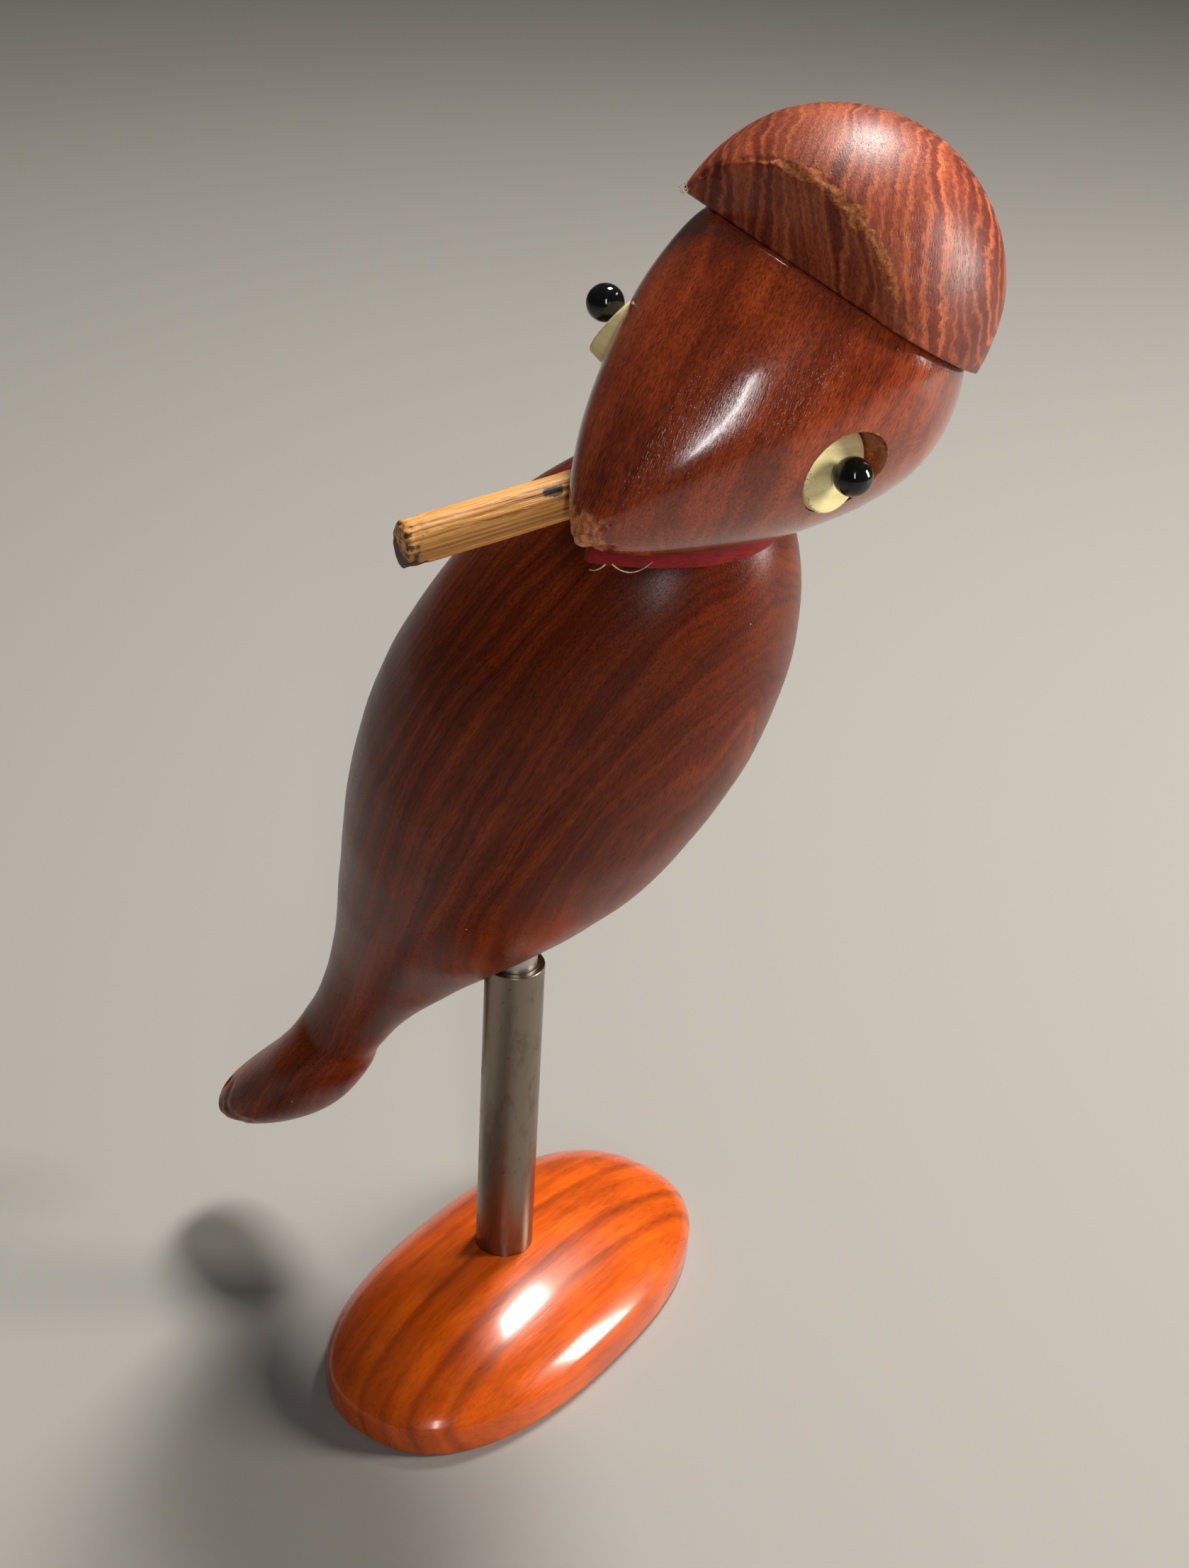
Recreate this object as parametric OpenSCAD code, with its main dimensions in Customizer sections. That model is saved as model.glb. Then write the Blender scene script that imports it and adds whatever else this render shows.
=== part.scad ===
// Turned and carved wooden bird on a steel leg. Millimetres, +Z up.
// The origin is the middle of the base's underside; the base is long along Y, its front at -Y.

/* [Base] */
// Length of the oval base, along Y
base_length = 66; // [50:1:90]
// Width of the oval base, along X
base_width = 36; // [28:1:60]
// Height of the base's crown above the table
base_height = 12; // [10:0.5:20]
// Height at which the base's steep edge turns into its crown
base_edge = 3.8; // [2:0.1:6]
// How far the leg stands off the base's middle, along X
leg_x = -2; // [-5:0.5:5]
// How far the leg stands off the base's middle, along Y
leg_y = -0.5; // [-10:0.5:10]

/* [Leg] */
// Outer diameter of the steel tube
tube_d = 8; // [6:0.1:12]
// Wall of the steel tube
tube_wall = 1; // [0.5:0.1:1.5]
// Height of the tube's open top above the table
tube_top = 59.3; // [50:0.1:80]
// How deep the tube is set into the base
tube_set = 8.5; // [5:0.5:9]
// Length of the spindle below the tube's top
spindle_below = 36; // [20:1:40]
// Length of the spindle above the tube's top, in the body
spindle_above = 22; // [12:1:26]
// How much wider than the tube the seat is that takes the tube's top
tube_seat_over = 1.5; // [0.5:0.1:3]

/* [Body] */
// Largest diameter of the egg-shaped body
body_d = 44.2; // [36:0.2:54]
// Height of the body's widest section above the table
body_z = 99.4; // [90:0.2:120]
// How far the widest section stands forward of the leg
body_forward = 5.9; // [0:0.1:12]
// Slope of the body's long axis above the horizontal
body_slope = 61.7; // [55:0.1:75]
// Length of the crown of the egg, from the widest section to its point
crown_length = 41; // [38:0.5:52]
// Distance from the widest section down to the waist
waist_length = 69.5; // [60:0.5:80]
// Diameter of the waist in front of the tail
waist_d = 11.4; // [9:0.1:15]
// Distance from the widest section down to the end of the tail
tail_length = 95.8; // [88:0.2:110]
// Largest thickness of the tail
tail_thick = 10.6; // [10:0.1:18]
// Largest width of the tail
tail_wide = 16.4; // [10:0.1:22]
// How far the tail's heel stands out on its underside
tail_heel = 3.3; // [0:0.1:6]
// Upward kink of the tail from the body's axis, in degrees
tail_kink = 14.6; // [0:0.2:30]
// Distance from the widest section down to the tail's kink
kink_start = 72.7; // [60:0.1:85]
// Turn of the body from the front of the base, in degrees
body_turn = 98; // [0:1:359]

/* [Head] */
// Height of the head's middle above the table
head_z = 150.1; // [140:0.2:170]
// How far the head's middle stands forward of the leg
head_forward = 30.3; // [20:0.1:40]
// Lean of the neck peg forward from the vertical
neck_lean = 17.5; // [0:0.5:25]
// Turn of the head on its neck peg from straight ahead, in degrees
head_turn = -100.4; // [-180:0.1:180]
// Largest diameter of the head
head_d = 36; // [30:0.2:44]
// How far the head's bulk stands off the neck's axis to the bird's left
head_offset = 1; // [-2:0.05:2]
// Length from the head's middle to the tip of the beak
beak_length = 34.9; // [28:0.1:44]
// Drop of the beak below square to the neck, in degrees
beak_drop = 27.4; // [20:0.1:45]
// Distance from the head's middle down to its flat underside
mouth_level = 16.6; // [13:0.1:17]
// Thickness of the red mouth plate
mouth_thick = 3; // [2:0.1:5]
// How far the mouth plate's edge is set in from the head's
mouth_inset = 0.4; // [0:0.1:1.5]
// How far the mouth plate's end is behind the beak's
mouth_setback = 3.6; // [0.5:0.1:6]

/* [Cap] */
// Diameter of the round cap
cap_d = 36.8; // [34:0.2:46]
// Distance from the head's middle to the cap's underside
cap_level = 8.1; // [7:0.1:12]
// Backward tilt of the cap from the neck, in degrees
cap_tilt = 21.6; // [0:0.2:30]
// Distance from the cap's middle to where the peak is cut away
peak_cut = 11.6; // [8:0.1:14]
// Slope of the cut under the peak, in degrees
peak_slope = 58; // [40:1:80]

/* [Eyes] */
// Diameter of the pale eye plugs
eye_d = 9.4; // [8:0.1:13]
// Length of an eye plug
eye_length = 6.4; // [3:0.1:8]
// Distance of each eye's face from the middle of the head
eye_face = 16; // [12:0.1:18]
// How far forward of the head's middle the two eyes' axes meet
eye_forward = 7.6; // [5:0.05:13]
// How far below the head's middle the two eyes' axes meet
eye_down = 8.4; // [2:0.1:12]
// Upward tilt of each eye from straight sideways, in degrees
eye_tilt = 18; // [0:0.5:25]
// Forward turn of each eye from straight sideways, in degrees
eye_toe = 9; // [0:0.5:20]
// Diameter of the black pupil beads
bead_d = 4.2; // [3:0.1:6]
// Gap between an eye's face and its bead
bead_gap = 0.3; // [0.1:0.1:2]
// Diameter of the pins that carry the beads
pin_d = 0.9; // [0.6:0.1:1.2]
// How deep a pin goes into the eye plug
pin_set = 3.2; // [2:0.1:5]

/* [Pegs and stick] */
// Diameter of the neck peg
neck_peg_d = 6; // [5:0.1:7]
// How deep the neck peg is set into the body
neck_peg_set = 10; // [6:0.5:14]
// How far the neck peg reaches up into the head
neck_peg_up = 8; // [5:0.5:9]
// Diameter of the peg between the head and the cap
cap_peg_d = 6; // [4:0.1:7]
// How far the cap peg reaches into the head, and into the cap
cap_peg_half = 7; // [4:0.5:8]
// Diameter of the stick in the mouth
stick_d = 5; // [4:0.1:6]
// Length of the stick outside the beak
stick_out = 20.2; // [12:0.2:40]
// Length of the stick inside the head
stick_in = 12; // [8:0.5:13]
// How far forward of the neck the stick leaves the beak's edge
stick_forward = 20.8; // [18:0.1:26]
// How far to the bird's right of the middle the stick leaves the edge
stick_side = 6.9; // [3:0.1:9]
// How far below the head's flat underside the stick leaves the edge
stick_below = 1.3; // [0:0.1:3]
// Turn of the stick to the bird's right, in degrees
stick_turn = 20.5; // [0:0.5:30]
// Drop of the stick's outer end below the mouth plate, in degrees
stick_drop = 17.3; // [0:0.1:30]

/* [Fits] */
// Radial clearance of the spindle in the tube, and of the neck peg in the head
running_fit = 0.05; // [0.02:0.01:0.1]
// Gap between faces that turn on each other
face_gap = 0.2; // [0.1:0.05:0.5]

/* [Hidden] */
$fn = 96;
// Larger than the whole object, for cuts that run right out of it
clear_of_all = 120;
// Empty depth left past the end of a peg in its hole
end_gap = 0.5;
// Chamfer of the stick's outer end
stick_chamfer = 0.5;

// Exponents of the base's plan and of its crown
plan_power = 2.4;
crown_power = 1.85;
// Height of the base's thin lower rim, and how far the underside is drawn in as a share of its plan
rim_height = 0.8;
underside_share = [0.97, 0.985];
// Exponents of the egg's taper to the waist, of the tail's blunt end and of its heel
taper_power = 1.15;
end_power = 8;
heel_power = 1.1;
// Length over which the kink eases in
kink_ease = 2.5;
// Exponents of the beak's profile
beak_power = 1.5;
beak_close = 0.79;

body_r = body_d / 2;
waist_r = waist_d / 2;
head_r = head_d / 2;
cap_r = cap_d / 2;
bead_r = bead_d / 2;
spindle_r = tube_d / 2 - tube_wall - running_fit;
neck_peg_r = neck_peg_d / 2;
tube_bottom = base_height - tube_set;
seat_level = mouth_level + mouth_thick + face_gap;
bead_centre = eye_face + bead_gap + bead_r;

// Height of the base's surface at a share t of the way out to its edge
function crown(t) = base_edge + (base_height - base_edge) * pow(max(0, 1 - pow(t, crown_power)),
                                                               1 / crown_power);
// Point of the base's plan at angle a, a superellipse
function plan(a) = let (c = cos(a), s = sin(a),
                        k = pow(pow(abs(c), plan_power) + pow(abs(s), plan_power), -1 / plan_power))
    [base_width / 2 * k * c, base_length / 2 * k * s];

// Radius of the egg and waist at a distance s up the body's axis from its widest section
function egg(s) = s >= 0
    ? body_r * sqrt(max(0, 1 - pow(s / crown_length, 2)))
    : waist_r + (body_r - waist_r) * (1 + cos(180 * pow(min(1, -s / waist_length), taper_power))) / 2;
// Share of the tail that s is along, from 0 at the waist to 1 at its end
function tail_share(s) = max(0, (-s - waist_length) / (tail_length - waist_length));
// The blunt rounding of the tail's end
function tail_end(s) = sqrt(max(0, 1 - pow(tail_share(s), end_power)));
// How much more the tail's underside stands out at its heel
function heel(s) = tail_heel * sin(180 * pow(min(1, tail_share(s)), heel_power));
// Half-width across the body and half-thickness in its plane, tail included
function swell(s) = sin(90 * min(1, 3 * tail_share(s)));
function half_wide(s) = (egg(s) + (tail_wide / 2 - waist_r) * swell(s)) * tail_end(s);
function half_thick(s) = (egg(s) + (tail_thick / 2 - waist_r) * swell(s)) * tail_end(s);
// How far the tail is carried off the body's axis by its kink
function kink(s) = let (d = -s - kink_start) tan(tail_kink) * (sqrt(d * d + kink_ease * kink_ease) + d) / 2;

// Radius of the head at a distance x from its middle towards the beak's tip
function head_radius(x) = x < 0
    ? sqrt(max(0, head_r * head_r - x * x))
    : head_r * pow(max(0, 1 - pow(min(1, x / beak_length), beak_power)), beak_close);
// Half-width of the head's flat underside at a distance x forward of the neck
function flat_half(x) = let (along = x * cos(beak_drop) + mouth_level * sin(beak_drop),
                             below = mouth_level * cos(beak_drop) - x * sin(beak_drop),
                             r = head_radius(along))
    r > abs(below) ? sqrt(r * r - below * below) : 0;
flat_back = sqrt(head_r * head_r - mouth_level * mouth_level);
flat_front = (beak_length - mouth_level * sin(beak_drop)) / cos(beak_drop);

module on_leg() { translate([leg_x, leg_y, 0]) children(); }

// The body's frame: +X forward in the body's plane, on the leg's axis at table height
module in_body() { on_leg() rotate([0, 0, body_turn - 90]) children(); }

// The head's frame: origin in the middle of the head, +X to the beak's side, +Z along the neck
module in_neck() { in_body() translate([head_forward, 0, head_z]) rotate([0, neck_lean, 0]) children(); }
module in_head() { in_neck() rotate([0, 0, head_turn]) children(); }

// The cap's frame: origin in the middle of the cap's flat underside
module in_cap() { in_head() rotate([0, -cap_tilt, 0]) translate([0, 0, cap_level]) children(); }

// An eye's frame: +Z outwards through the eye, side is 1 for the bird's left
module in_eye(side) {
    in_head() translate([eye_forward, 0, -eye_down]) rotate([0, 0, -side * eye_toe])
        rotate([(eye_tilt - 90) * side, 0, 0]) children();
}

// The stick's frame: +Z out along the stick, origin where it leaves the beak's edge
module in_stick() {
    in_head() translate([stick_forward, -stick_side, -mouth_level - stick_below]) rotate([0, 0, -stick_turn]) rotate([0, 90 + stick_drop, 0]) children();
}

module foot_base() {
    steps = 14;
    sides = 72;
    shares = [for (i = [0:steps - 1]) sin(90 * (i + 1) / steps)];
    rings = concat([for (t = shares) [for (j = [0:sides - 1]) let (p = plan(360 * j / sides))
                                      [p[0] * t, p[1] * t, crown(t)]]],
                   [[for (j = [0:sides - 1]) let (p = plan(360 * j / sides)) [p[0], p[1], rim_height]]],
                   [[for (j = [0:sides - 1]) let (p = plan(360 * j / sides))
                     [p[0] * underside_share[0], p[1] * underside_share[1], 0]]]);
    count = len(rings);
    points = concat([[0, 0, base_height]], [for (r = rings) each r], [[0, 0, 0]]);
    bottom = count * sides + 1;
    faces = concat([for (j = [0:sides - 1]) [0, 1 + (j + 1) % sides, 1 + j]],
                   [for (i = [0:count - 2], j = [0:sides - 1])
                        let (a = 1 + i * sides + j, b = 1 + i * sides + (j + 1) % sides)
                        each [[a, b, b + sides], [a, b + sides, a + sides]]],
                   [for (j = [0:sides - 1]) [bottom, bottom - sides + j, bottom - sides + (j + 1) % sides]]);
    color("chocolate") difference() {
        polyhedron(points, faces, convexity = 4);
        on_leg() translate([0, 0, tube_bottom]) cylinder(d = tube_d, h = clear_of_all);
    }
}

module leg_tube() {
    color("silver") on_leg() translate([0, 0, tube_bottom]) difference() {
        cylinder(d = tube_d, h = tube_top - tube_bottom);
        translate([0, 0, -1]) cylinder(d = tube_d - 2 * tube_wall, h = clear_of_all);
    }
}

module body_spindle() {
    color("lightsteelblue") on_leg() translate([0, 0, tube_top - spindle_below])
        cylinder(r = spindle_r, h = spindle_below + spindle_above);
}

module bird_body() {
    stations = 50;
    sides = 36;
    span = crown_length + tail_length;
    // Stations are closer together at both ends
    at = [for (i = [1:stations - 1]) crown_length - span * (1 - cos(180 * i / stations)) / 2];
    rings = [for (s = at) let (step = 0.5, lean = atan((kink(s - step) - kink(s + step)) / (2 * step)))
             [for (j = [0:sides - 1]) let (a = 360 * j / sides,
                                           h = (half_thick(s) + heel(s) * max(0, cos(a))) * cos(a))
              [h * cos(lean) - kink(s), half_wide(s) * sin(a), s + h * sin(lean)]]];
    count = len(rings);
    points = concat([[-kink(crown_length), 0, crown_length]], [for (r = rings) each r],
                    [[-kink(-tail_length), 0, -tail_length]]);
    bottom = count * sides + 1;
    faces = concat([for (j = [0:sides - 1]) [0, 1 + (j + 1) % sides, 1 + j]],
                   [for (i = [0:count - 2], j = [0:sides - 1])
                        let (a = 1 + i * sides + j, b = 1 + i * sides + (j + 1) % sides)
                        each [[a, b, b + sides], [a, b + sides, a + sides]]],
                   [for (j = [0:sides - 1]) [bottom, bottom - sides + j, bottom - sides + (j + 1) % sides]]);
    color("saddlebrown") difference() {
        in_body() translate([body_forward, 0, body_z]) rotate([0, 90 - body_slope, 0])
            polyhedron(points, faces, convexity = 6);
        // Flat that the head turns on, and the hole for its peg
        in_neck() translate([0, 0, -seat_level]) cylinder(r = clear_of_all / 2, h = clear_of_all);
        in_neck() translate([0, 0, -seat_level - neck_peg_set]) cylinder(d = neck_peg_d, h = clear_of_all);
        // Shallow seat over the tube's top, and the hole for the spindle
        on_leg() translate([0, 0, tube_top + face_gap - clear_of_all])
            cylinder(d = tube_d + tube_seat_over, h = clear_of_all);
        on_leg() cylinder(r = spindle_r, h = tube_top + spindle_above);
    }
}

module neck_peg() {
    color("burlywood") in_neck() translate([0, 0, -seat_level - neck_peg_set])
        cylinder(r = neck_peg_r, h = neck_peg_set + seat_level - mouth_level + neck_peg_up);
}

module bird_head() {
    steps = 36;
    front = [for (i = [0:steps]) let (x = beak_length * sin(90 * i / steps)) [head_radius(x), x]];
    back = [for (i = [1:steps / 2]) let (a = 180 * i / steps) [head_r * cos(a), -head_r * sin(a)]];
    color("sienna") difference() {
        in_head() translate([0, head_offset, 0]) rotate([0, 90 + beak_drop, 0])
            rotate_extrude() polygon(concat([for (i = [len(back) - 1:-1:0]) back[i]], front));
        // Flat underside, with the hole that turns on the neck peg
        in_head() translate([0, 0, -mouth_level - clear_of_all])
            cylinder(r = clear_of_all / 2, h = clear_of_all);
        in_head() translate([0, 0, -mouth_level - 1])
            cylinder(r = neck_peg_r + running_fit, h = 1 + neck_peg_up + end_gap);
        // Flat that the cap sits on, with its peg hole
        in_cap() cylinder(r = clear_of_all / 2, h = clear_of_all);
        in_cap() translate([0, 0, -cap_peg_half]) cylinder(d = cap_peg_d, h = clear_of_all);
        for (side = [-1, 1]) in_eye(side) translate([0, 0, eye_face - eye_length])
            cylinder(d = eye_d, h = clear_of_all);
        in_stick() translate([0, 0, -stick_in]) cylinder(d = stick_d, h = clear_of_all);
    }
}

module mouth_plate() {
    steps = 40;
    first = -flat_back + mouth_inset;
    last = flat_front - mouth_setback;
    at = [for (i = [0:steps]) first + (last - first) * (1 - cos(180 * i / steps)) / 2];
    // The front is rounded over where it is set back from the beak's tip
    half = [for (x = at) max(0.05, (flat_half(x) - mouth_inset) * sqrt(1 - pow(max(0, x) / last, 3)))];
    outline = concat([for (i = [0:steps]) [at[i], half[i]]],
                     [for (i = [steps:-1:0]) [at[i], -half[i]]]);
    color("darkred") difference() {
        in_head() translate([0, 0, -mouth_level - mouth_thick])
            linear_extrude(mouth_thick) translate([0, head_offset]) polygon(outline);
        in_head() translate([0, 0, -mouth_level - mouth_thick - 1])
            cylinder(r = neck_peg_r + running_fit, h = mouth_thick + 2);
        in_stick() translate([0, 0, -stick_in]) cylinder(d = stick_d, h = clear_of_all);
    }
}

module round_cap() {
    steps = 32;
    arc = [for (i = [0:steps]) let (a = 90 * i / steps) [cap_r * cos(a), cap_r * sin(a)]];
    color("peru") in_cap() difference() {
        rotate_extrude() polygon(concat([[0, 0]], arc));
        translate([peak_cut, 0, 0]) rotate([0, 90 - peak_slope, 0])
            translate([clear_of_all / 2, 0, 0]) cube(clear_of_all, center = true);
        translate([0, 0, -1]) cylinder(d = cap_peg_d, h = cap_peg_half + 1);
    }
}

module cap_peg() {
    color("burlywood") in_cap() translate([0, 0, -cap_peg_half])
        cylinder(d = cap_peg_d, h = 2 * cap_peg_half);
}

module eye_plug(side) {
    color("cornsilk") in_eye(side) difference() {
        translate([0, 0, eye_face - eye_length]) cylinder(d = eye_d, h = eye_length);
        translate([0, 0, eye_face - pin_set]) cylinder(d = pin_d, h = pin_set + 1);
    }
}

module pupil_pin(side) {
    color("dimgray") in_eye(side) translate([0, 0, eye_face - pin_set])
        cylinder(d = pin_d, h = bead_centre - eye_face + pin_set);
}

module pupil_bead(side) {
    color("black") in_eye(side) difference() {
        translate([0, 0, bead_centre]) sphere(r = bead_r);
        translate([0, 0, bead_centre - 2 * bead_r]) cylinder(d = pin_d, h = 2 * bead_r);
    }
}

module mouth_stick() {
    length = stick_in + stick_out;
    color("goldenrod") in_stick() translate([0, 0, -stick_in]) {
        cylinder(d = stick_d, h = length - stick_chamfer);
        translate([0, 0, length - stick_chamfer])
            cylinder(d1 = stick_d, d2 = stick_d - 2 * stick_chamfer, h = stick_chamfer);
    }
}

foot_base();
leg_tube();
body_spindle();
bird_body();
neck_peg();
bird_head();
mouth_plate();
round_cap();
cap_peg();
eye_plug(1);  // left_eye
eye_plug(-1);  // right_eye
pupil_pin(1);  // left_pupil_pin
pupil_pin(-1);  // right_pupil_pin
pupil_bead(1);  // left_pupil_bead
pupil_bead(-1);  // right_pupil_bead
mouth_stick();
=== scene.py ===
"""Carved wooden bird on a steel leg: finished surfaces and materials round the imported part."""

import math

import bpy
import numpy as np
from bpy.props import FloatProperty, FloatVectorProperty, PointerProperty
from bpy.types import Operator, Panel, PropertyGroup
from mathutils import Euler, Matrix


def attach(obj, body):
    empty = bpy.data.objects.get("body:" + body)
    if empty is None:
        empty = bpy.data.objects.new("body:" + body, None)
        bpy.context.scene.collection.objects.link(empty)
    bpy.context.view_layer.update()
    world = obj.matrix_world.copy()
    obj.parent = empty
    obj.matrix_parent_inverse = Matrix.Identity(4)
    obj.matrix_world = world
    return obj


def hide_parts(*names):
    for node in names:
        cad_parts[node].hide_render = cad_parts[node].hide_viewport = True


bl_info = {
    "name": "Leaning Wooden Bird",
    "version": (1, 0, 0),
    "blender": (4, 5, 0),
    "location": "View3D > Sidebar > Bird",
    "description": "Builds the surfaces and finishes of a carved wooden bird on a steel leg",
    "category": "Object",
}

# Shape of the base: powers of the plan and of the crown, and the height of the rounded lower rim
PLAN_POWER = 2.4
CROWN_POWER = 1.85
RIM_HEIGHT = 0.0009
# Shape of the beak: r = R (1 - (x / L) ** BEAK_POWER) ** BEAK_CLOSE
BEAK_POWER = 1.5
BEAK_CLOSE = 0.79
# How far the pegs reach into the body, the head and the cap, in metres
PEG_SET = 0.010
PEG_UP = 0.008
CAP_PEG_HALF = 0.007
# Gaps round pieces that are set in and pieces that turn
SET_GAP = 0.00002
RUNNING_GAP = 0.00005
EYE_GAP = 0.00012

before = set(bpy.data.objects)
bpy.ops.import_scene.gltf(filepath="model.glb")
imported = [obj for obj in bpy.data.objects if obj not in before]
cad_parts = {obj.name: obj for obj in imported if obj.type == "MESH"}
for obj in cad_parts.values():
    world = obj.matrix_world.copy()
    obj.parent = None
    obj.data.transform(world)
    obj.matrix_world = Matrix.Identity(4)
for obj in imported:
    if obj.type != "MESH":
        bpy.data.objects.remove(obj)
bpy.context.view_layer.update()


def length(name, description, default):
    """A size in metres."""
    return FloatProperty(name=name, description=description, default=default, precision=5, unit="LENGTH")


def angle(name, description, degrees):
    """An angle, kept in radians."""
    return FloatProperty(name=name, description=description, default=math.radians(degrees), unit="ROTATION")


def colour(name, description, default):
    """A linear RGB colour."""
    return FloatVectorProperty(
        name=name, description=description, default=default, size=3, min=0, max=1, subtype="COLOR"
    )


class BirdStandSizes(PropertyGroup):
    """Sizes of the base and the leg."""

    base_length: length("Base length", "Length of the oval base, along Y", 0.066)
    base_width: length("Base width", "Width of the oval base, along X", 0.036)
    base_height: length("Base height", "Height of the base's crown", 0.012)
    base_edge: length("Base edge", "Height at which the steep edge turns into the crown", 0.0038)
    leg_x: length("Leg X", "Place of the leg across the base", -0.002)
    leg_y: length("Leg Y", "Place of the leg along the base", -0.0005)
    tube_diameter: length("Tube diameter", "Outer diameter of the steel tube", 0.008)
    tube_wall: length("Tube wall", "Wall of the steel tube", 0.001)
    tube_bottom: length("Tube bottom", "Height of the tube's lower end, inside the base", 0.0035)
    tube_top: length("Tube top", "Height of the tube's open top", 0.0593)
    spindle_radius: length("Spindle radius", "Radius of the rod that turns in the tube", 0.00295)
    spindle_bottom: length("Spindle bottom", "Height of the rod's lower end", 0.0233)
    spindle_top: length("Spindle top", "Height of the rod's upper end", 0.0813)


class BirdBodySizes(PropertyGroup):
    """Sizes of the egg-shaped body and its tail."""

    diameter: length("Body diameter", "Largest diameter of the body", 0.0442)
    height: length("Body height", "Height of the widest section", 0.0994)
    forward: length("Body forward", "How far the widest section is forward of the leg", 0.0059)
    slope: angle("Body slope", "Slope of the body's axis above the horizontal", 61.7)
    turn: angle("Body turn", "Direction that the body faces, from +X", 8)
    crown: length("Crown length", "Length from the widest section to the point of the egg", 0.041)
    waist: length("Waist length", "Length from the widest section to the waist", 0.0695)
    waist_diameter: length("Waist diameter", "Diameter of the waist", 0.0114)
    tail: length("Tail length", "Length from the widest section to the tail's end", 0.0958)
    tail_thick: length("Tail thickness", "Largest thickness of the tail", 0.0106)
    tail_wide: length("Tail width", "Largest width of the tail", 0.0164)
    tail_heel: length("Tail heel", "How far the heel stands out under the tail", 0.0033)
    kink: angle("Tail kink", "Upward kink of the tail", 14.6)
    kink_start: length("Kink start", "Length from the widest section to the kink", 0.0727)
    seat_gap: length("Turning gap", "Gap between faces that turn on each other", 0.0002)
    leg_seat: length("Leg seat", "Diameter of the shallow seat over the tube's top", 0.0095)


class BirdHeadSizes(PropertyGroup):
    """Sizes of the head, its mouth plate, cap, eyes and stick."""

    height: length("Head height", "Height of the head's middle", 0.1501)
    forward: length("Head forward", "How far the head's middle is forward of the leg", 0.0303)
    lean: angle("Neck lean", "Forward lean of the neck peg", 17.5)
    turn: angle("Head turn", "Turn of the head on its peg, from straight ahead", -100.4)
    diameter: length("Head diameter", "Largest diameter of the head", 0.036)
    offset: length("Head offset", "How far the head's bulk is off the neck's axis", 0.001)
    beak: length("Beak length", "Length from the head's middle to the beak's tip", 0.0349)
    beak_drop: angle("Beak drop", "Drop of the beak below square to the neck", 27.4)
    mouth: length("Mouth level", "Depth of the flat underside below the head's middle", 0.0166)
    plate: length("Plate thickness", "Thickness of the red mouth plate", 0.003)
    plate_inset: length("Plate inset", "How far the plate's edge is set in", 0.0004)
    plate_setback: length("Plate setback", "How far the plate's end is behind the beak's", 0.0036)
    cap_diameter: length("Cap diameter", "Diameter of the round cap", 0.0368)
    cap_level: length("Cap level", "Distance from the head's middle to the cap", 0.0081)
    cap_tilt: angle("Cap tilt", "Backward tilt of the cap", 21.6)
    peak_cut: length("Peak cut", "Distance from the cap's middle to the cut", 0.0116)
    peak_slope: angle("Peak slope", "Slope of the cut under the peak", 58)
    eye_diameter: length("Eye diameter", "Diameter of the pale eye plugs", 0.0094)
    eye_length: length("Eye length", "Length of an eye plug", 0.0064)
    eye_face: length(
        "Eye face", "Distance of each eye's face from the head's middle plane, along its axis", 0.016
    )
    eye_forward: length("Eye forward", "How far forward of the head's middle the two eyes' axes meet", 0.0076)
    eye_down: length("Eye down", "How far below the head's middle the two eyes' axes meet", 0.0084)
    eye_tilt: angle("Eye tilt", "Upward tilt of each eye from straight sideways", 18)
    eye_toe: angle("Eye toe", "Forward turn of each eye from straight sideways", 9)
    bead_diameter: length("Bead diameter", "Diameter of the black pupil beads", 0.0042)
    bead_gap: length("Bead gap", "Gap between an eye's face and its bead", 0.0003)
    pin_diameter: length("Pin diameter", "Diameter of the pins that carry the beads", 0.0009)
    pin_set: length("Pin set", "Depth of a pin in its eye plug", 0.0032)
    peg_diameter: length("Peg diameter", "Diameter of the wooden pegs", 0.006)
    stick_diameter: length("Stick diameter", "Diameter of the stick", 0.005)
    stick_out: length("Stick outside", "Length of the stick outside the beak", 0.0202)
    stick_in: length("Stick inside", "Length of the stick inside the head", 0.012)
    stick_forward: length("Stick forward", "How far forward the stick leaves the beak", 0.0208)
    stick_side: length("Stick side", "How far to the right the stick leaves the beak", 0.0069)
    stick_below: length("Stick below", "How far below the flat underside the stick leaves the beak", 0.0013)
    stick_turn: angle("Stick turn", "Turn of the stick to the bird's right", 20.5)
    stick_drop: angle("Stick drop", "Drop of the stick's outer end", 17.3)


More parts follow.
